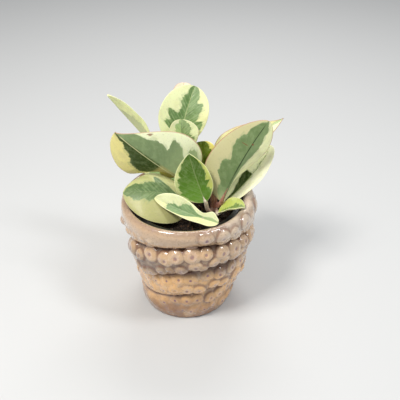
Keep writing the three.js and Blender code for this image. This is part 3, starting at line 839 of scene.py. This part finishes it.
def soil_height(x, y):
    lumps = np.sin(x * 0.31 + 1.3) * np.cos(y * 0.27) + 0.6 * np.sin(x * 0.11 - y * 0.42)
    fine = 0.35 * np.sin(x * 0.9 + y * 0.5) * np.sin(y * 1.1 - x * 0.3)
    return 98 + 0.7 * lumps - 0.0012 * (x * x + y * y) + fine


def soil_rings():
    turns = np.arange(SOIL_SIDES) / SOIL_SIDES
    result = [around(turns, 34.2, 11.8)]
    for share in np.linspace(1, 0.03, 26):
        top = around(turns, SOIL_RADIUS * share, 0)
        top[:, 2] = soil_height(top[:, 0], top[:, 1])
        result.append(top)
    return np.array(result)


def make_soil_finish(name, dark, light, scale):
    material, tree, shader = new_finish(name, dark, 0.95)
    place = object_place(tree)
    colour = blend(tree, grain(tree, place, scale), dark, light)
    fill(tree, shader, {"Base Color": colour, "Specular IOR Level": 0.2})
    bump(tree, shader, grain(tree, place, 1500.0), 0.0004, 0.8)
    return material


peat = make_soil_finish("dark_potting_mix", tint(26, 21, 18), tint(66, 52, 42), 420.0)
bark = make_soil_finish("bark_flakes", tint(70, 48, 34), tint(110, 82, 60), 300.0)
grit = make_soil_finish("pale_grit", tint(150, 140, 124), tint(196, 188, 172), 500.0)
soil = mesh_piece("potting_mix", *skin(soil_rings()), [peat])
print("soil points:", len(soil.data.vertices))


# %% Tree that scatters crumbs
def crumb_tree():
    tree, given = new_tree(
        "Scatter crumbs", density=200000.0, smallest=0.0004, largest=0.0014, stretch=1.0, seed=1
    )
    seed, up = given["Seed"], tree.nodes.new("GeometryNodeInputNormal").outputs[0]
    top = math_node(tree, "GREATER_THAN", split(tree, up)[2], 0.5)
    inputs = {"Mesh": given["Geometry"], "Selection": top, "Density": given["Density"], "Seed": seed}
    spread = add(tree, "GeometryNodeDistributePointsOnFaces", inputs, distribute_method="RANDOM")
    crumb = add(tree, "GeometryNodeMeshIcoSphere", {"Radius": 1.0, "Subdivisions": 1})
    inputs = {0: (0, 0, 0), 1: (6.28, 6.28, 6.28), "Seed": seed}
    spin = add(tree, "FunctionNodeRandomValue", inputs, data_type="FLOAT_VECTOR").outputs[0]
    inputs = {2: given["Smallest"], 3: given["Largest"], "Seed": seed}
    size = add(tree, "FunctionNodeRandomValue", inputs, data_type="FLOAT").outputs[1]
    inputs = {"X": times(tree, size, given["Stretch"]), "Y": size, "Z": times(tree, size, 0.7)}
    shape = add(tree, "ShaderNodeCombineXYZ", inputs).outputs[0]
    inputs = {"Points": spread.outputs["Points"], "Instance": crumb.outputs[0]}
    inputs |= {"Rotation": spin, "Scale": shape}
    placed = add(tree, "GeometryNodeInstanceOnPoints", inputs)
    end_tree(tree, placed.outputs[0], given["Finish"])
    return tree


scatter = crumb_tree()


# %% Crumbs on the soil
def join(name, parts):
    """Joins meshes into one piece that keeps every material."""
    with bpy.context.temp_override(active_object=parts[0], selected_editable_objects=parts):
        bpy.ops.object.join()
    parts[0].name = parts[0].data.name = name
    return parts[0]


crumbs = []
for name, density, smallest, largest, stretch, seed, finish in [
    ("peat_crumbs", 330000.0, 0.0004, 0.0013, 1.3, 3, peat),
    ("bark_crumbs", 42000.0, 0.0006, 0.0013, 2.2, 5, bark),
    ("grit_crumbs", 9000.0, 0.0003, 0.0007, 1.2, 8, grit),
]:
    values = {"density": density, "smallest": smallest, "largest": largest, "stretch": stretch}
    crumbs.append(run_tree(in_scene(name, soil.data), scatter, seed=seed, finish=finish, **values))
    print(name, len(crumbs[-1].data.polygons))
soil = join("potting_mix", [soil, *crumbs])
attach(soil, "root")
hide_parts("soil")

# %% [markdown]
# ## Leaves: shape
#
# Each blade grows along a curved midrib. Its outline is a formula for the half width on each side,
# and its cross-section is an arc that leaves the midrib at one angle and bends to the margin. The
# numbers are those of the solids, so a fine blade lies exactly where its solid is. What is new is
# the rounded margin, the groove of the midrib above and its ridge below, and a faint waviness.

# %% Leaves, as in the solids
LEAVES = {}
USUAL = {
    "narrow": (0.72, 0.72), "blunt": (0.6, 0.6), "keel": (0, 0), "lobe": (0, 0), "joint": 0, "via": (),
}


def leaf(name, stem, start, root, tip, face, bow, sway, width, wide, fold, curl, **more):
    """One leaf. Its stalk leaves the stem at the share start, and its blade runs from root to tip.

    The upper side looks towards face. bow and sway bend the midrib upwards and sideways. Pairs are
    for the left and the right half: width is reached at the share wide, a half rises from the
    midrib by fold degrees and bends by curl degrees to the margin. In USUAL, narrow and blunt
    shape the outline to the root and to the tip, joint is where the stalk meets the midrib, and
    via lists points on the stalk's way.
    """
    LEAVES[name] = {
        "stem": stem, "start": start, "root": np.array(root, float), "tip": np.array(tip, float),
        "face": np.array(face, float), "bow": bow, "sway": sway, "width": width, "wide": wide,
        "fold": fold, "curl": curl, **USUAL, **more,
    }


leaf("front_centre", "right", 0.38, (17, -16, 115), (3, -8, 159), (0, -1, 0.1), -1, -1,
     (20, 14), (0.4, 0.45), (6, 10), (6, 14), blunt=(0.85, 0.8), via=[(20, -12, 103)])
leaf("front_low", "front", 0.7, (27, -47, 116), (-27, -18, 121), (0, -0.75, 0.66), -3, -1,
     (6, 11), (0.45, 0.66), (14, 12), (10, 0), narrow=(0.4, 2.2), lobe=(1, 7), joint=0.22,
     via=[(9, -20, 103), (13, -33, 108)])
leaf("left_low", "front", 0.85, (2, -9, 115.5), (-55, -10, 121), (-0.1, -0.45, 0.88), 6, 0,
     (27.5, 25), (0.38, 0.5), (-3, -4), (-12, -30), keel=(-10, 0), narrow=(0.2, 0.72), blunt=(0.6, 0.5))
leaf("left_yellow", "left", 0.5, (-7, 19, 121), (-24, 18, 133), (0, -0.9, 0.4), 1, 0,
     (8, 8), (0.6, 0.6), (8, 8), (6, 6))
leaf("left_big", "left", 0.5, (3, 3, 122), (-59, 3, 174), (0.1, 1, 0.1), -3, 0,
     (36, 36), (0.33, 0.57), (14, 10), (10, 10), keel=(0, 8), narrow=(0.33, 9), blunt=(1.5, 0.53))
leaf("left_back", "left", 0.72, (-31, 40, 142), (-69, 46, 188), (0.6, 0.55, 0.55), 1, 7,
     (13, 13), (0.4, 0.4), (26, 26), (10, 10))
leaf("top", "left", 1, (-8, 18, 148), (8, 44, 197), (0, -0.82, 0.57), 3, -1,
     (23, 20), (0.5, 0.58), (8, 8), (6, 6), blunt=(0.55, 0.55))
leaf("top_small", "left", 0.9, (0, 11, 150), (-4, 20, 177), (0, -0.85, 0.5), 2, -1,
     (11, 15), (0.6, 0.6), (12, 12), (10, 10), blunt=(0.45, 0.55))
leaf("top_back", "left", 0.84, (-3, 36, 158), (-2, 56, 195), (0, -0.82, 0.57), 3, 0,
     (11, 11), (0.6, 0.6), (8, 8), (8, 8), blunt=(0.4, 0.4))
leaf("middle_dark", "right", 0.92, (17, 15, 132), (13.5, 19, 156), (0, -0.9, 0.4), 2, 0,
     (12, 12), (0.6, 0.6), (8, 8), (8, 8), blunt=(0.4, 0.4))
leaf("right_big", "right", 0.48, (31, -13, 114), (69, 2, 185), (0.1, 1, 0.1), -2, 3,
     (17, 27), (0.68, 0.36), (16, 10), (4, 10), keel=(70, 0), blunt=(0.5, 0.75), via=[(28, -10, 107)])
leaf("right_low", "right", 0.45, (33, -4, 105), (75, 19, 152), (-0.5, -0.7, 0.5), -2, 3,
     (13, 12), (0.65, 0.65), (4, 14), (0, 14), blunt=(0.5, 0.45), via=[(29, -3, 104)])
leaf("right_back", "right", 0.78, (25, 24, 131), (86, 34, 171), (-0.3, -0.7, 0.65), 3, 0,
     (17, 12), (0.3, 0.45), (10, 10), (8, 8), blunt=(1.6, 0.9))
leaf("right_small", "right", 0.36, (27.5, -17.5, 104.5), (50.9, -24, 115.8), (-0.1, -0.1, 1), 2, 0,
     (10, 6), (0.55, 0.55), (25, 25), (10, 20), narrow=(1, 0.72), via=[(27.5, -10.5, 101)])
leaf("back_left", "left", 0.42, (-12, 27, 106), (-42, 54, 118), (-0.2, 0.1, 1), 4, 0,
     (16, 16), (0.55, 0.55), (10, 10), (-14, -14))
leaf("back_centre", "left", 0.46, (9, 26, 109), (14, 70, 118), (0, 0.1, 1), 6, 0,
     (17, 17), (0.55, 0.55), (10, 10), (-16, -16))
leaf("back_right", "right", 0.76, (32, 16, 118), (54, 54, 132), (0.2, -0.1, 1), 5, 0,
     (20, 20), (0.55, 0.55), (12, 12), (-8, -8))
print("leaves:", len(LEAVES))


# %% Points on a blade
SOLID_LEAST, FINE_LEAST = 0.7, 0.25  # half widths at the ends of a solid and of a fine blade
LOBE_PLACE = 0.1  # a lobe's place along the blade, and its reach to both sides
KEEL_END = 0.7  # the keel, an extra fold at the root, fades out here


def unit(v):
    return v / np.linalg.norm(v, axis=-1, keepdims=True)


def midrib(shape, u):
    """Point, up and right along the midrib at each u, from 0 at the root to 1 at the tip."""
    line = shape["tip"] - shape["root"]
    face = unit(shape["face"])
    side = unit(np.cross(unit(line), face))
    bend = shape["root"] + line / 2 + face * 2 * shape["bow"] + side * 2 * shape["sway"]
    u = np.asarray(u, float)[..., None]
    point = (1 - u) ** 2 * shape["root"] + 2 * u * (1 - u) * bend + u * u * shape["tip"]
    along = unit((1 - u) * (bend - shape["root"]) + u * (shape["tip"] - bend))
    up = unit(face - along * (along @ face)[..., None])
    return point, up, np.cross(along, up)


def half_width(shape, side, u, least):
    wide = shape["wide"][side]
    root_part = np.clip((wide - u) / wide, 0, 1)
    tip_part = np.clip((u - wide) / (1 - wide), 0, 1)
    full = (1 - root_part**2) ** shape["narrow"][side] * (1 - tip_part**2) ** shape["blunt"][side]
    lobe = shape["lobe"][side] * np.exp(-(((u - LOBE_PLACE) / LOBE_PLACE) ** 2))
    return np.maximum(least, shape["width"][side] * full + lobe)


def blade_points(shape, u, v, lift, least=SOLID_LEAST):
    """Points at u along and v across the blade, -1 to 1, lifted off its upper side; and widths."""
    point, up, right = midrib(shape, u)
    result = np.zeros(u.shape + (3,))
    width = np.zeros(u.shape)
    for side, here in ((0, v < 0), (1, v >= 0)):
        w = half_width(shape, side, u, least)
        keel = shape["keel"][side] * np.maximum(0, 1 - u / KEEL_END)
        start = np.radians(shape["fold"][side] + keel)
        turned_by = math.radians(shape["curl"][side]) or 1e-4  # a flat half is a very wide arc
        end = start + turned_by * np.abs(v)
        out = w * (np.sin(end) - np.sin(start)) / turned_by - lift * np.sin(end)
        rise = w * (np.cos(start) - np.cos(end)) / turned_by + lift * np.cos(end)
        sign = -1 if side == 0 else 1
        placed = point + right * (sign * out)[..., None] + up * rise[..., None]
        result[here] = placed[here]
        width[here] = w[here]
    return result, width


lengths = [np.linalg.norm(shape["tip"] - shape["root"]) for shape in LEAVES.values()]
print("blades are", round(min(lengths)), "to", round(max(lengths)), "mm long from root to tip")

# %% [markdown]
# ## Leaves: pattern
#
# Variegated leaves are green where the inner tissue has chlorophyll and cream where it hasn't.
# The border is ragged, because the tissue grew outwards along the side veins. So the border is
# given as how far the green reaches from the midrib, at places measured along the veins, for the
# left and the right half of each leaf. The finish then roughens it with a noise that is
# stretched along the same veins. Undersides are greyer and paler than upper sides.

# %% Colours of the leaves
FOREST, GRASS, SAGE = tint(84, 122, 32), tint(132, 160, 86), tint(106, 128, 80)
SHADE, MIST = tint(46, 66, 12), tint(180, 198, 144)
CREAM, BUTTER = tint(212, 214, 166), tint(226, 226, 166)
BEIGE, LIME, PEACH = tint(200, 194, 146), tint(182, 194, 92), tint(240, 214, 184)
OLIVE, GOLD = tint(96, 114, 10), tint(244, 230, 130)
VEIN_SLOPE = 0.2  # a side vein has gone this share of the length forward when it meets the margin

PLAIN = ((2, 3, MIST), (2, 3, MIST))  # no fading, because the length only goes to 1
PATTERNS = {}


def pattern(
    name, seen, green, cream, left, right, jag=0.12, streak=0.4, pink=0.0, rib=0.5, fade=PLAIN
):
    """The looks of one blade. Pairs are for the left and the right half, on the side that is seen.

    left and right list how far out the green reaches at places along the blade, both as shares.
    jag is how torn that border is, streak how strong the two-tone streaks are, pink how pink the
    margin is, and rib how light the midrib is, or below 0 how dark its painted shadow is. fade says
    from where to where along the blade the green passes into another colour.
    """
    PATTERNS[name] = {
        "seen": seen, "green": green, "cream": cream, "reach": (left, right),
        "jag": jag, "streak": streak, "pink": pink, "rib": rib, "fade": fade,
    }


# %% Patterns in front and on the left
pattern("front_centre", "upper", (tint(76, 112, 26), tint(70, 106, 20)),
        (tint(214, 220, 150), tint(204, 212, 112)),
        [(0, 0.86), (0.12, 0.86), (0.2, 0.83), (0.26, 0.89), (0.3, 0.8), (0.4, 0.9), (0.47, 0.68),
         (0.52, 0.85), (0.6, 0.72), (0.66, 0.8), (0.8, 0.82), (1, 0.9)],
        [(0, 0.9), (0.1, 0.8), (0.2, 0.5), (0.27, 0.85), (0.33, 0.5), (0.42, 0.72), (0.6, 0.75),
         (0.75, 0.9), (1, 0.95)],
        streak=0.25, rib=0.22, fade=((0.7, 0.1, tint(116, 162, 60)), (0.7, 0.1, tint(108, 154, 52))))
pattern("front_low", "upper", (tint(126, 154, 106), tint(122, 152, 102)), (BUTTER, tint(222, 226, 176)),
        [(0, 0), (0.26, 0), (0.3, 0.25), (0.37, 0.7), (0.43, 0.84), (0.6, 0.84), (0.65, 0.66),
         (0.74, 0.2), (0.8, -0.1), (1, -0.2)],
        [(0, 0.3), (0.22, 0.35), (0.26, 0.6), (0.3, 0.76), (0.38, 0.7), (0.5, 0.42), (0.6, 0.2),
         (0.7, 0.22), (0.77, 0.05), (0.82, -0.1), (1, -0.2)],
        streak=0.8, rib=0.1, fade=((2, 3, MIST), (0.3, 0.14, MIST)))
# Its creams are darker than the leaf's own cream: painted shade.
pattern("left_low", "upper", (SAGE, tint(92, 116, 72)), (tint(178, 176, 118), tint(192, 194, 134)),
        [(0, 0.2), (0.42, 0.24), (0.49, 0.34), (0.59, 0.29), (0.67, 0.38), (0.74, 0.41), (0.82, 0.3),
         (0.9, 0.32), (0.97, 0.2), (1, 0.1)],
        [(0, 0.05), (0.18, 0.1), (0.22, 0.4), (0.28, 0.55), (0.33, 0.7), (0.39, 0.78), (0.41, 0.46),
         (0.52, 0.44), (0.57, 0.46), (0.63, 0.36), (0.7, 0.46), (0.79, 0.46), (0.87, 0.42),
         (0.95, 0.15), (1, 0.1)],
        streak=0.45, rib=0.1)
pattern("left_yellow", "upper", (GRASS, GRASS), (GOLD, GOLD),
        [(0, 0.05), (1, 0.05)], [(0, 0.05), (1, 0.05)])
# On the right half the dark green is partly painted shade, and the yellow is painted brighter to make
# up for the shade that falls there.
pattern("left_big", "under", (tint(120, 140, 96), tint(50, 72, 4)),
        (tint(236, 240, 198), tint(252, 240, 158)),
        [(0, 0.85), (0.06, 0.85), (0.1, 0.8), (0.13, 0.52), (0.17, 0.56), (0.2, 0.66), (0.25, 0.76),
         (0.31, 0.8), (0.335, 0.7), (0.352, 0.4), (0.38, 0.46), (0.42, 0.58), (0.49, 0.64),
         (0.56, 0.58), (0.61, 0.66), (0.64, 0.8), (0.67, 1.1), (1, 1.1)],
        [(0, 0.95), (0.25, 0.9), (0.33, 0.73), (0.45, 0.58), (0.53, 0.5), (0.62, 0.43), (0.72, 0.27),
         (0.8, 0.18), (0.9, 0.12), (1, 0.05)],
        jag=0.08, streak=0.12, pink=0.8, rib=0.9,
        fade=((0.5, 0.1, MIST), (0.42, 0.37, tint(226, 206, 130))))
# Its greens and creams are painted far paler than the leaf's own: painted light on its shaded side.
pattern("left_back", "under", (tint(208, 212, 168), tint(238, 242, 182)),
        (tint(248, 252, 190), tint(250, 252, 190)),
        [(0, 0.7), (0.4, 0.5), (0.68, 0.1), (0.75, 0), (1, 0)],
        [(0, 0.5), (0.5, 0.3), (0.8, 0), (1, 0)], streak=0.2)

# %% Patterns at the top
pattern("top", "upper", (tint(96, 126, 72), tint(110, 138, 80)), (tint(224, 228, 176), BUTTER),
        [(0, 0.4), (0.16, 0.5), (0.22, 0.74), (0.27, 0.7), (0.3, 0.52), (0.35, 0.58), (0.4, 0.72),
         (0.44, 0.7), (0.46, 0.4), (0.48, 0.3), (0.57, 0.28), (0.66, 0.34), (0.71, 0.36),
         (0.79, 0.26), (0.89, 0.34), (1, 0.6)],
        [(0, 0.5), (0.14, 0.75), (0.2, 0.84), (0.29, 0.88), (0.35, 0.86), (0.37, 0.52),
         (0.44, 0.56), (0.5, 0.6), (0.57, 0.66), (0.64, 0.68), (0.66, 0.42), (0.71, 0.46),
         (0.79, 0.52), (0.9, 0.7), (1, 0.85)],
        streak=0.7, rib=0.4)
pattern("top_small", "upper", (tint(150, 174, 112), tint(126, 148, 96)), (CREAM, tint(224, 230, 176)),
        [(0, 0.5), (0.5, 0.5), (0.7, 0.6), (0.85, 0.3), (1, 0.2)],
        [(0, 0.7), (0.23, 0.77), (0.42, 0.52), (0.48, 0.46), (0.61, 0.62), (0.75, 0.6),
         (0.87, 0.5), (1, 0.3)],
        jag=0.2, streak=0.7, pink=0.2, rib=-0.3)
pattern("top_back", "upper", (SAGE, SAGE), (PEACH, PEACH), [(0, 0.1), (0.4, 0), (1, 0)],
        [(0, 0.1), (0.4, 0), (1, 0)], pink=0.6)
pattern("middle_dark", "upper", (OLIVE, OLIVE), (GOLD, GOLD),
        [(0, 1.1), (0.6, 1.1), (0.85, 1.0), (1, 0.9)],
        [(0, 0.9), (0.4, 0.8), (0.6, 0.55), (0.85, 0.6), (1, 0.8)], streak=0.2, rib=0)

# %% Patterns on the right and at the back
# The left half is painted lighter than the right: painted light, as that half is turned away from the
# lamps.
pattern("right_big", "under", (tint(134, 158, 104), SAGE), (tint(250, 252, 196), BEIGE),
        [(0, 0.1), (0.3, 0.16), (0.45, 0.25), (0.52, 0.36), (0.62, 0.42), (0.73, 0.4), (0.78, 0.38),
         (0.8, 0.52), (0.86, 0.42), (0.94, 0.18), (1, 0)],
        [(0, 0.42), (0.13, 0.36), (0.17, 0.38), (0.2, 0.54), (0.25, 0.52), (0.31, 0.56), (0.37, 0.46),
         (0.41, 0.34), (0.46, 0.44), (0.5, 0.53), (0.57, 0.62), (0.65, 0.58), (0.69, 0.49),
         (0.75, 0.57), (0.85, 0.52), (0.93, 0.25), (0.97, 0.05), (1, 0)],
        jag=0.08, streak=0.15, pink=0.9, rib=-0.9, fade=((0.22, 0.02, MIST), (0.22, 0.02, MIST)))
# Its creams are painted almost white, as painted light against the shadow of right_big and the shade of
# its own curve.
pattern("right_low", "upper", (SHADE, GRASS), (tint(252, 254, 208), tint(255, 255, 216)),
        [(0, 0.3), (0.15, 0.35), (0.3, 0.62), (0.42, 0.72), (0.48, 0.3), (0.55, 0.05), (1, 0)],
        [(0, 0.1), (0.2, 0.05), (1, 0)], streak=0.3)
pattern("right_back", "upper", (MIST, MIST), (tint(232, 226, 168), tint(226, 228, 190)),
        [(0, 0.1), (0.8, 0.1), (0.92, 0.5), (1, 1)],
        [(0, 0.1), (0.8, 0.1), (0.92, 0.9), (1, 1)], pink=0.7)
pattern("right_small", "upper", (tint(104, 128, 36), FOREST), (LIME, tint(212, 216, 140)),
        [(0, 0.1), (0.3, 0.15), (0.5, 0.25), (0.7, 0.4), (0.85, 0.3), (1, 0.1)],
        [(0, 0.1), (0.4, 0.2), (0.6, 0.3), (0.8, 0.25), (1, 0.1)], jag=0.3, streak=0.5)
for name in ("back_left", "back_centre", "back_right"):
    pattern(name, "upper", (GRASS, GRASS), (BUTTER, BUTTER),
            [(0, 0.7), (0.3, 0.8), (0.5, 0.55), (0.7, 0.6), (1, 0.5)],
            [(0, 0.7), (0.25, 0.6), (0.45, 0.75), (0.7, 0.5), (1, 0.5)], streak=0.6)

# %% Scars
# Brown scars on a leaf: place along it and across it, then half length and half width, as shares.
SCAR_NAMES = ("first_scar", "second_scar")
NO_SCARS = [(-9, 0, 1, 1)] * 2  # far off the leaf
SCARS = {
    "left_big": [(0.71, -0.87, 0.035, 0.06), (0.7, -0.8, 0.02, 0.03)],
    "right_big": [(0.72, -0.02, 0.013, 0.06), (0.685, 0.24, 0.006, 0.2)],
    "front_low": [(0.8, -0.75, 0.012, 0.08), (0.28, -0.6, 0.01, 0.05)],
}

# %% [markdown]
# ## Leaves: finish
#
# One finish serves every blade, because each blade stores what differs: where a point lies on it,
# how far it is from the midrib and the margin, how far the green reaches there, and its colours.


# %% What the leaf finish reads
BLADE_VALUES = (
    "along", "across", "underside", "rib_gap", "margin_gap", "reach",
    "seed", "jag", "streak", "pink", "rib",
)


def blade_sockets(tree):
    """The stored values, the distance out from the midrib, and the places along the veins."""
    at = {name: attribute(tree, name) for name in BLADE_VALUES}
    at["out"] = math_node(tree, "ABSOLUTE", at["across"])
    at["vein"] = scaled(tree, at["out"], -VEIN_SLOPE, at["along"])
    at["steep"] = scaled(tree, at["out"], -2 * VEIN_SLOPE, at["along"])
    return at


def flames(tree, at, course, along, outwards, detail=2.0):
    """Noise that is stretched along the veins; it differs on the left and the right half."""
    x, y = times(tree, at[course], along), times(tree, at["across"], outwards)
    side = scaled(tree, math_node(tree, "SIGN", at["across"]), 5.0, at["seed"])
    place = add(tree, "ShaderNodeCombineXYZ", {"X": x, "Y": y, "Z": side}).outputs[0]
    noise = add(tree, "ShaderNodeTexNoise", {"Vector": place, "Scale": 1.0, "Detail": detail})
    return math_node(tree, "SUBTRACT", noise.outputs[0], 0.5)


# %% Tissue, midrib and scars
def leaf_tissue(tree, at, place):
    """Green inside the torn border and cream outside it, both with streaks along the veins."""
    ragged = times(tree, flames(tree, at, "vein", 16.0, 1.5), 2.6)
    ragged = scaled(tree, flames(tree, at, "vein", 46.0, 7.0, 1.0), 0.8, ragged)
    border = math_node(tree, "SUBTRACT", scaled(tree, ragged, at["jag"], at["reach"]), at["out"])
    green, cream = attribute(tree, "green", "Color"), attribute(tree, "cream", "Color")
    pale, deep = blend(tree, 0.4, green, MIST), blend(tree, 0.45, green, SHADE)
    inner = lay(
        tree, green,
        (step(tree, flames(tree, at, "steep", 26.0, 2.0), -0.02, 0.1), at["streak"], pale),
        (step(tree, flames(tree, at, "steep", 34.0, 3.0), 0.04, 0.14), at["streak"], deep),
        (step(tree, border, 0.09, 0.0), 0.3, pale),
        (grain(tree, place, 240.0, 0.42, 0.68), 0.16, MIST),
    )
    fringe = scaled(tree, flames(tree, at, "vein", 12.0, 3.0), 0.5, border)
    outer = lay(
        tree, cream,
        (step(tree, flames(tree, at, "vein", 9.0, 3.0), -0.05, 0.2), 0.25, BEIGE),
        (step(tree, fringe, -0.12, -0.02), 0.3, pale),
    )
    return blend(tree, step(tree, border, -0.015, 0.025), outer, inner)


def midrib_masks(tree, at):
    """Where the midrib shows light, and where a painted shadow darkens it, as a pattern asks below 0.
    """
    thin = scaled(tree, at["along"], -0.3, 0.62)
    mask = step(tree, at["rib_gap"], thin, times(tree, thin, 0.4))
    mask = times(tree, mask, step(tree, at["along"], 0.97, 0.9))
    light = math_node(tree, "MULTIPLY", mask, at["rib"], clamp=True)
    dark = math_node(tree, "MULTIPLY", mask, times(tree, at["rib"], -1.0), clamp=True)
    return light, times(tree, dark, step(tree, at["along"], 0.2, 0.5, 0.25, 1.0))


def scar_layer(tree, name):
    """The stored vector is the way from the scar's middle, in scar sizes."""
    inputs = {0: attribute(tree, name, "Vector")}
    away = add(tree, "ShaderNodeVectorMath", inputs, operation="LENGTH").outputs["Value"]
    return step(tree, away, 1.0, 0.4), 0.85, tint(128, 78, 50)


# %% Leaf finish
def make_leaf_finish():
    material, tree, shader = new_finish("variegated_leaf", CREAM, 0.3)
    at, place = blade_sockets(tree), object_place(tree)
    comb = math_node(tree, "FRACT", times(tree, at["steep"], 9.0))
    comb = math_node(tree, "ABSOLUTE", math_node(tree, "SUBTRACT", comb, 0.5))
    side_veins = step(tree, comb, 0.05, 0.0)
    light_rib, painted_rib_shadow = midrib_masks(tree, at)
    colour = lay(
        tree, leaf_tissue(tree, at, place),
        (side_veins, 0.035, CREAM),
        (light_rib, 1, tint(214, 214, 160)),
        # The midrib's dark line is a painted shadow in its groove.
        (painted_rib_shadow, 1, tint(34, 52, 26)),
        (grain(tree, place, 750.0, 0.58, 0.68), 0.22, tint(150, 138, 104)),
        # A pale edge along the margin: partly the leaf's own pale rim, partly a painted highlight.
        (step(tree, at["margin_gap"], 0.9, 0.2), 0.5, tint(240, 238, 192)),
        (step(tree, at["margin_gap"], 1.0, 0.25), at["pink"], tint(176, 124, 100)),
        *(scar_layer(tree, name) for name in SCAR_NAMES),
    )
    fill(tree, shader, {
        "Base Color": colour, "Roughness": step(tree, at["underside"], 0.3, 0.7, 0.36, 0.6),
        "Specular IOR Level": 0.25, "Subsurface Weight": 0.12,
        "Subsurface Radius": (0.0015, 0.002, 0.0006),
    })
    relief = scaled(tree, side_veins, -0.25, grain(tree, place, 500.0))
    bump(tree, shader, relief, 0.0001, 0.6)
    return material


leaf_finish = make_leaf_finish()
print("nodes in the leaf finish:", len(leaf_finish.node_tree.nodes))

# %% Rings of a blade
ROWS, ACROSS = 72, 22
RIB_THICKNESS, MARGIN_THICKNESS = 1.4, 0.8


def section():
    """Columns round a blade: v from margin to margin above, and back again below."""
    even = np.linspace(0, 1, ACROSS + 1)
    out = 0.35 * even + 0.65 * np.sin(even * np.pi / 2)
    v = np.concatenate([-out[::-1], out[1:]])
    above = np.concatenate([v, v[-2:0:-1]])
    under = np.concatenate([np.zeros(len(v)), np.ones(len(v) - 2)])
    under[[0, len(v) - 1]] = 0.5
    return above, under


def blade_rings(shape, seed, u, v, under):
    """Rings of points round the blade, and the half width at each point."""
    thickness = RIB_THICKNESS + (MARGIN_THICKNESS - RIB_THICKNESS) * np.abs(v)
    rounding = thickness / 2 * (1 - np.sqrt(np.clip(1 - np.abs(v) ** 14, 0, 1)))
    _, width = blade_points(shape, u, v, u * 0, FINE_LEAST)
    gap = np.abs(v) * width
    groove = 0.3 * np.exp(-((gap / 0.7) ** 2)) * smooth(0, 0.08, u) * (1 - 0.6 * u)
    ridge = 0.35 * np.exp(-((gap / 0.9) ** 2)) * (1 - u)
    ripple = 0.35 * np.sin(2 * np.pi * (2.3 * u + seed)) * v * v * smooth(0, 0.3, u)
    lift = np.where(under > 0.6, rounding - thickness - ridge, -rounding - groove) + ripple
    return blade_points(shape, u, v, lift, FINE_LEAST)[0], width


# %% Colours and values of a blade
def blade_colours(looks, u, v, under):
    """Green and cream at each point; the side that isn't seen has common ones."""
    half = np.where(v < 0, 0, 1)
    seen = ((under > 0.5) == (looks["seen"] == "under"))[..., None]
    hidden_green, hidden_cream = (GRASS, BUTTER) if looks["seen"] == "under" else (SAGE, CREAM)
    green = np.where(seen, np.array(looks["green"])[half], hidden_green)
    for side, (start, end, towards) in enumerate(looks["fade"]):
        faded = np.where(half == side, 0.8 * smooth(start, end, u), 0)[..., None]
        green = green + (np.array(towards) - green) * faded
    return green, np.where(seen, np.array(looks["cream"])[half], hidden_cream)


def blade_values(looks, seed, u, v, under, width):
    """The value of each name in BLADE_VALUES at each point."""
    on_vein = u - VEIN_SLOPE * np.abs(v)
    left, right = (np.interp(on_vein, *zip(*keys)) for keys in looks["reach"])
    values = {
        "along": u, "across": v, "underside": under, "rib_gap": np.abs(v) * width,
        "margin_gap": (1 - np.abs(v)) * width, "reach": np.where(v < 0, left, right),
        "seed": u * 0 + seed,
    }
    return values | {label: u * 0 + looks[label] for label in ("jag", "streak", "pink", "rib")}


# %% Fine blades
def make_blade(name):
    looks, seed = PATTERNS[name], sorted(LEAVES).index(name) * 3.7
    v, under = section()
    u = 0.5 - 0.5 * np.cos(np.pi * (np.arange(ROWS + 1) / ROWS))
    u, v = np.meshgrid(u, v, indexing="ij")
    under = np.broadcast_to(under, u.shape)
    points, width = blade_rings(LEAVES[name], seed, u, v, under)
    blade = mesh_piece(f"leaf_{name}_blade", *skin(points), [leaf_finish])

    def keep(label, values, kind="FLOAT"):
        """Stores the values; the two poles have those of the first and the last point."""
        flat = values.reshape(u.size, -1)
        store(blade, label, np.vstack([flat, flat[:1], flat[-1:]]), kind)

    for mark, (at, across, long, wide) in zip(SCAR_NAMES, SCARS.get(name, NO_SCARS)):
        way = np.stack([(u - at) / long, (v - across) / wide, u * 0], -1)
        keep(mark, way, "FLOAT_VECTOR")
    values = blade_values(looks, seed, u, v, under, width)
    for label in BLADE_VALUES:
        keep(label, values[label])
    green, cream = blade_colours(looks, u, v, under)
    keep("green", green, "FLOAT_COLOR")
    keep("cream", cream, "FLOAT_COLOR")
    return blade


# %% Stalks, and each leaf as one piece
PINK_STALKS = ("right_big", "right_low")
STEM_STEPS = 200


def make_stalk(name):
    """A stalk from its stem into the blade, whose midrib it meets at the root or at the joint."""
    shape = LEAVES[name]
    stem, joint = smooth_path(STEMS[shape["stem"]][0], STEM_STEPS), shape["joint"]
    start = stem[round(shape["start"] * STEM_STEPS)]
    at = np.array([joint, joint + 0.06, joint + 0.18])
    depth = np.array([1.7, 1.7, 1.7] if joint else [0.7, 0.9, 1.1])  # below the upper side
    (inside, meet, end), _ = blade_points(shape, at, at * 0, -depth)
    handle = inside - unit(meet - inside) * 0.35 * np.linalg.norm(inside - start)
    path = [start, *(shape["via"] or [handle]), inside, meet, end]
    radii = path_radii([2.0, 1.8, 1.8, 1.8, 0.6, 0.3] if joint else [2.0, 1.8, 1.8, 1.7, 1.1, 0.5])
    finish = pink_skin if name in PINK_STALKS else stalk_skin
    return tube(f"leaf_{name}_stalk", path, radii, 14, finish, 0.04)


leaf_points = 0
for name in LEAVES:
    piece = join(f"leaf_{name}_blade", [make_blade(name), make_stalk(name)])
    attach(piece, "root")
    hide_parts(f"leaf_{name}")
    leaf_points += len(piece.data.vertices)
print("leaf points:", leaf_points)
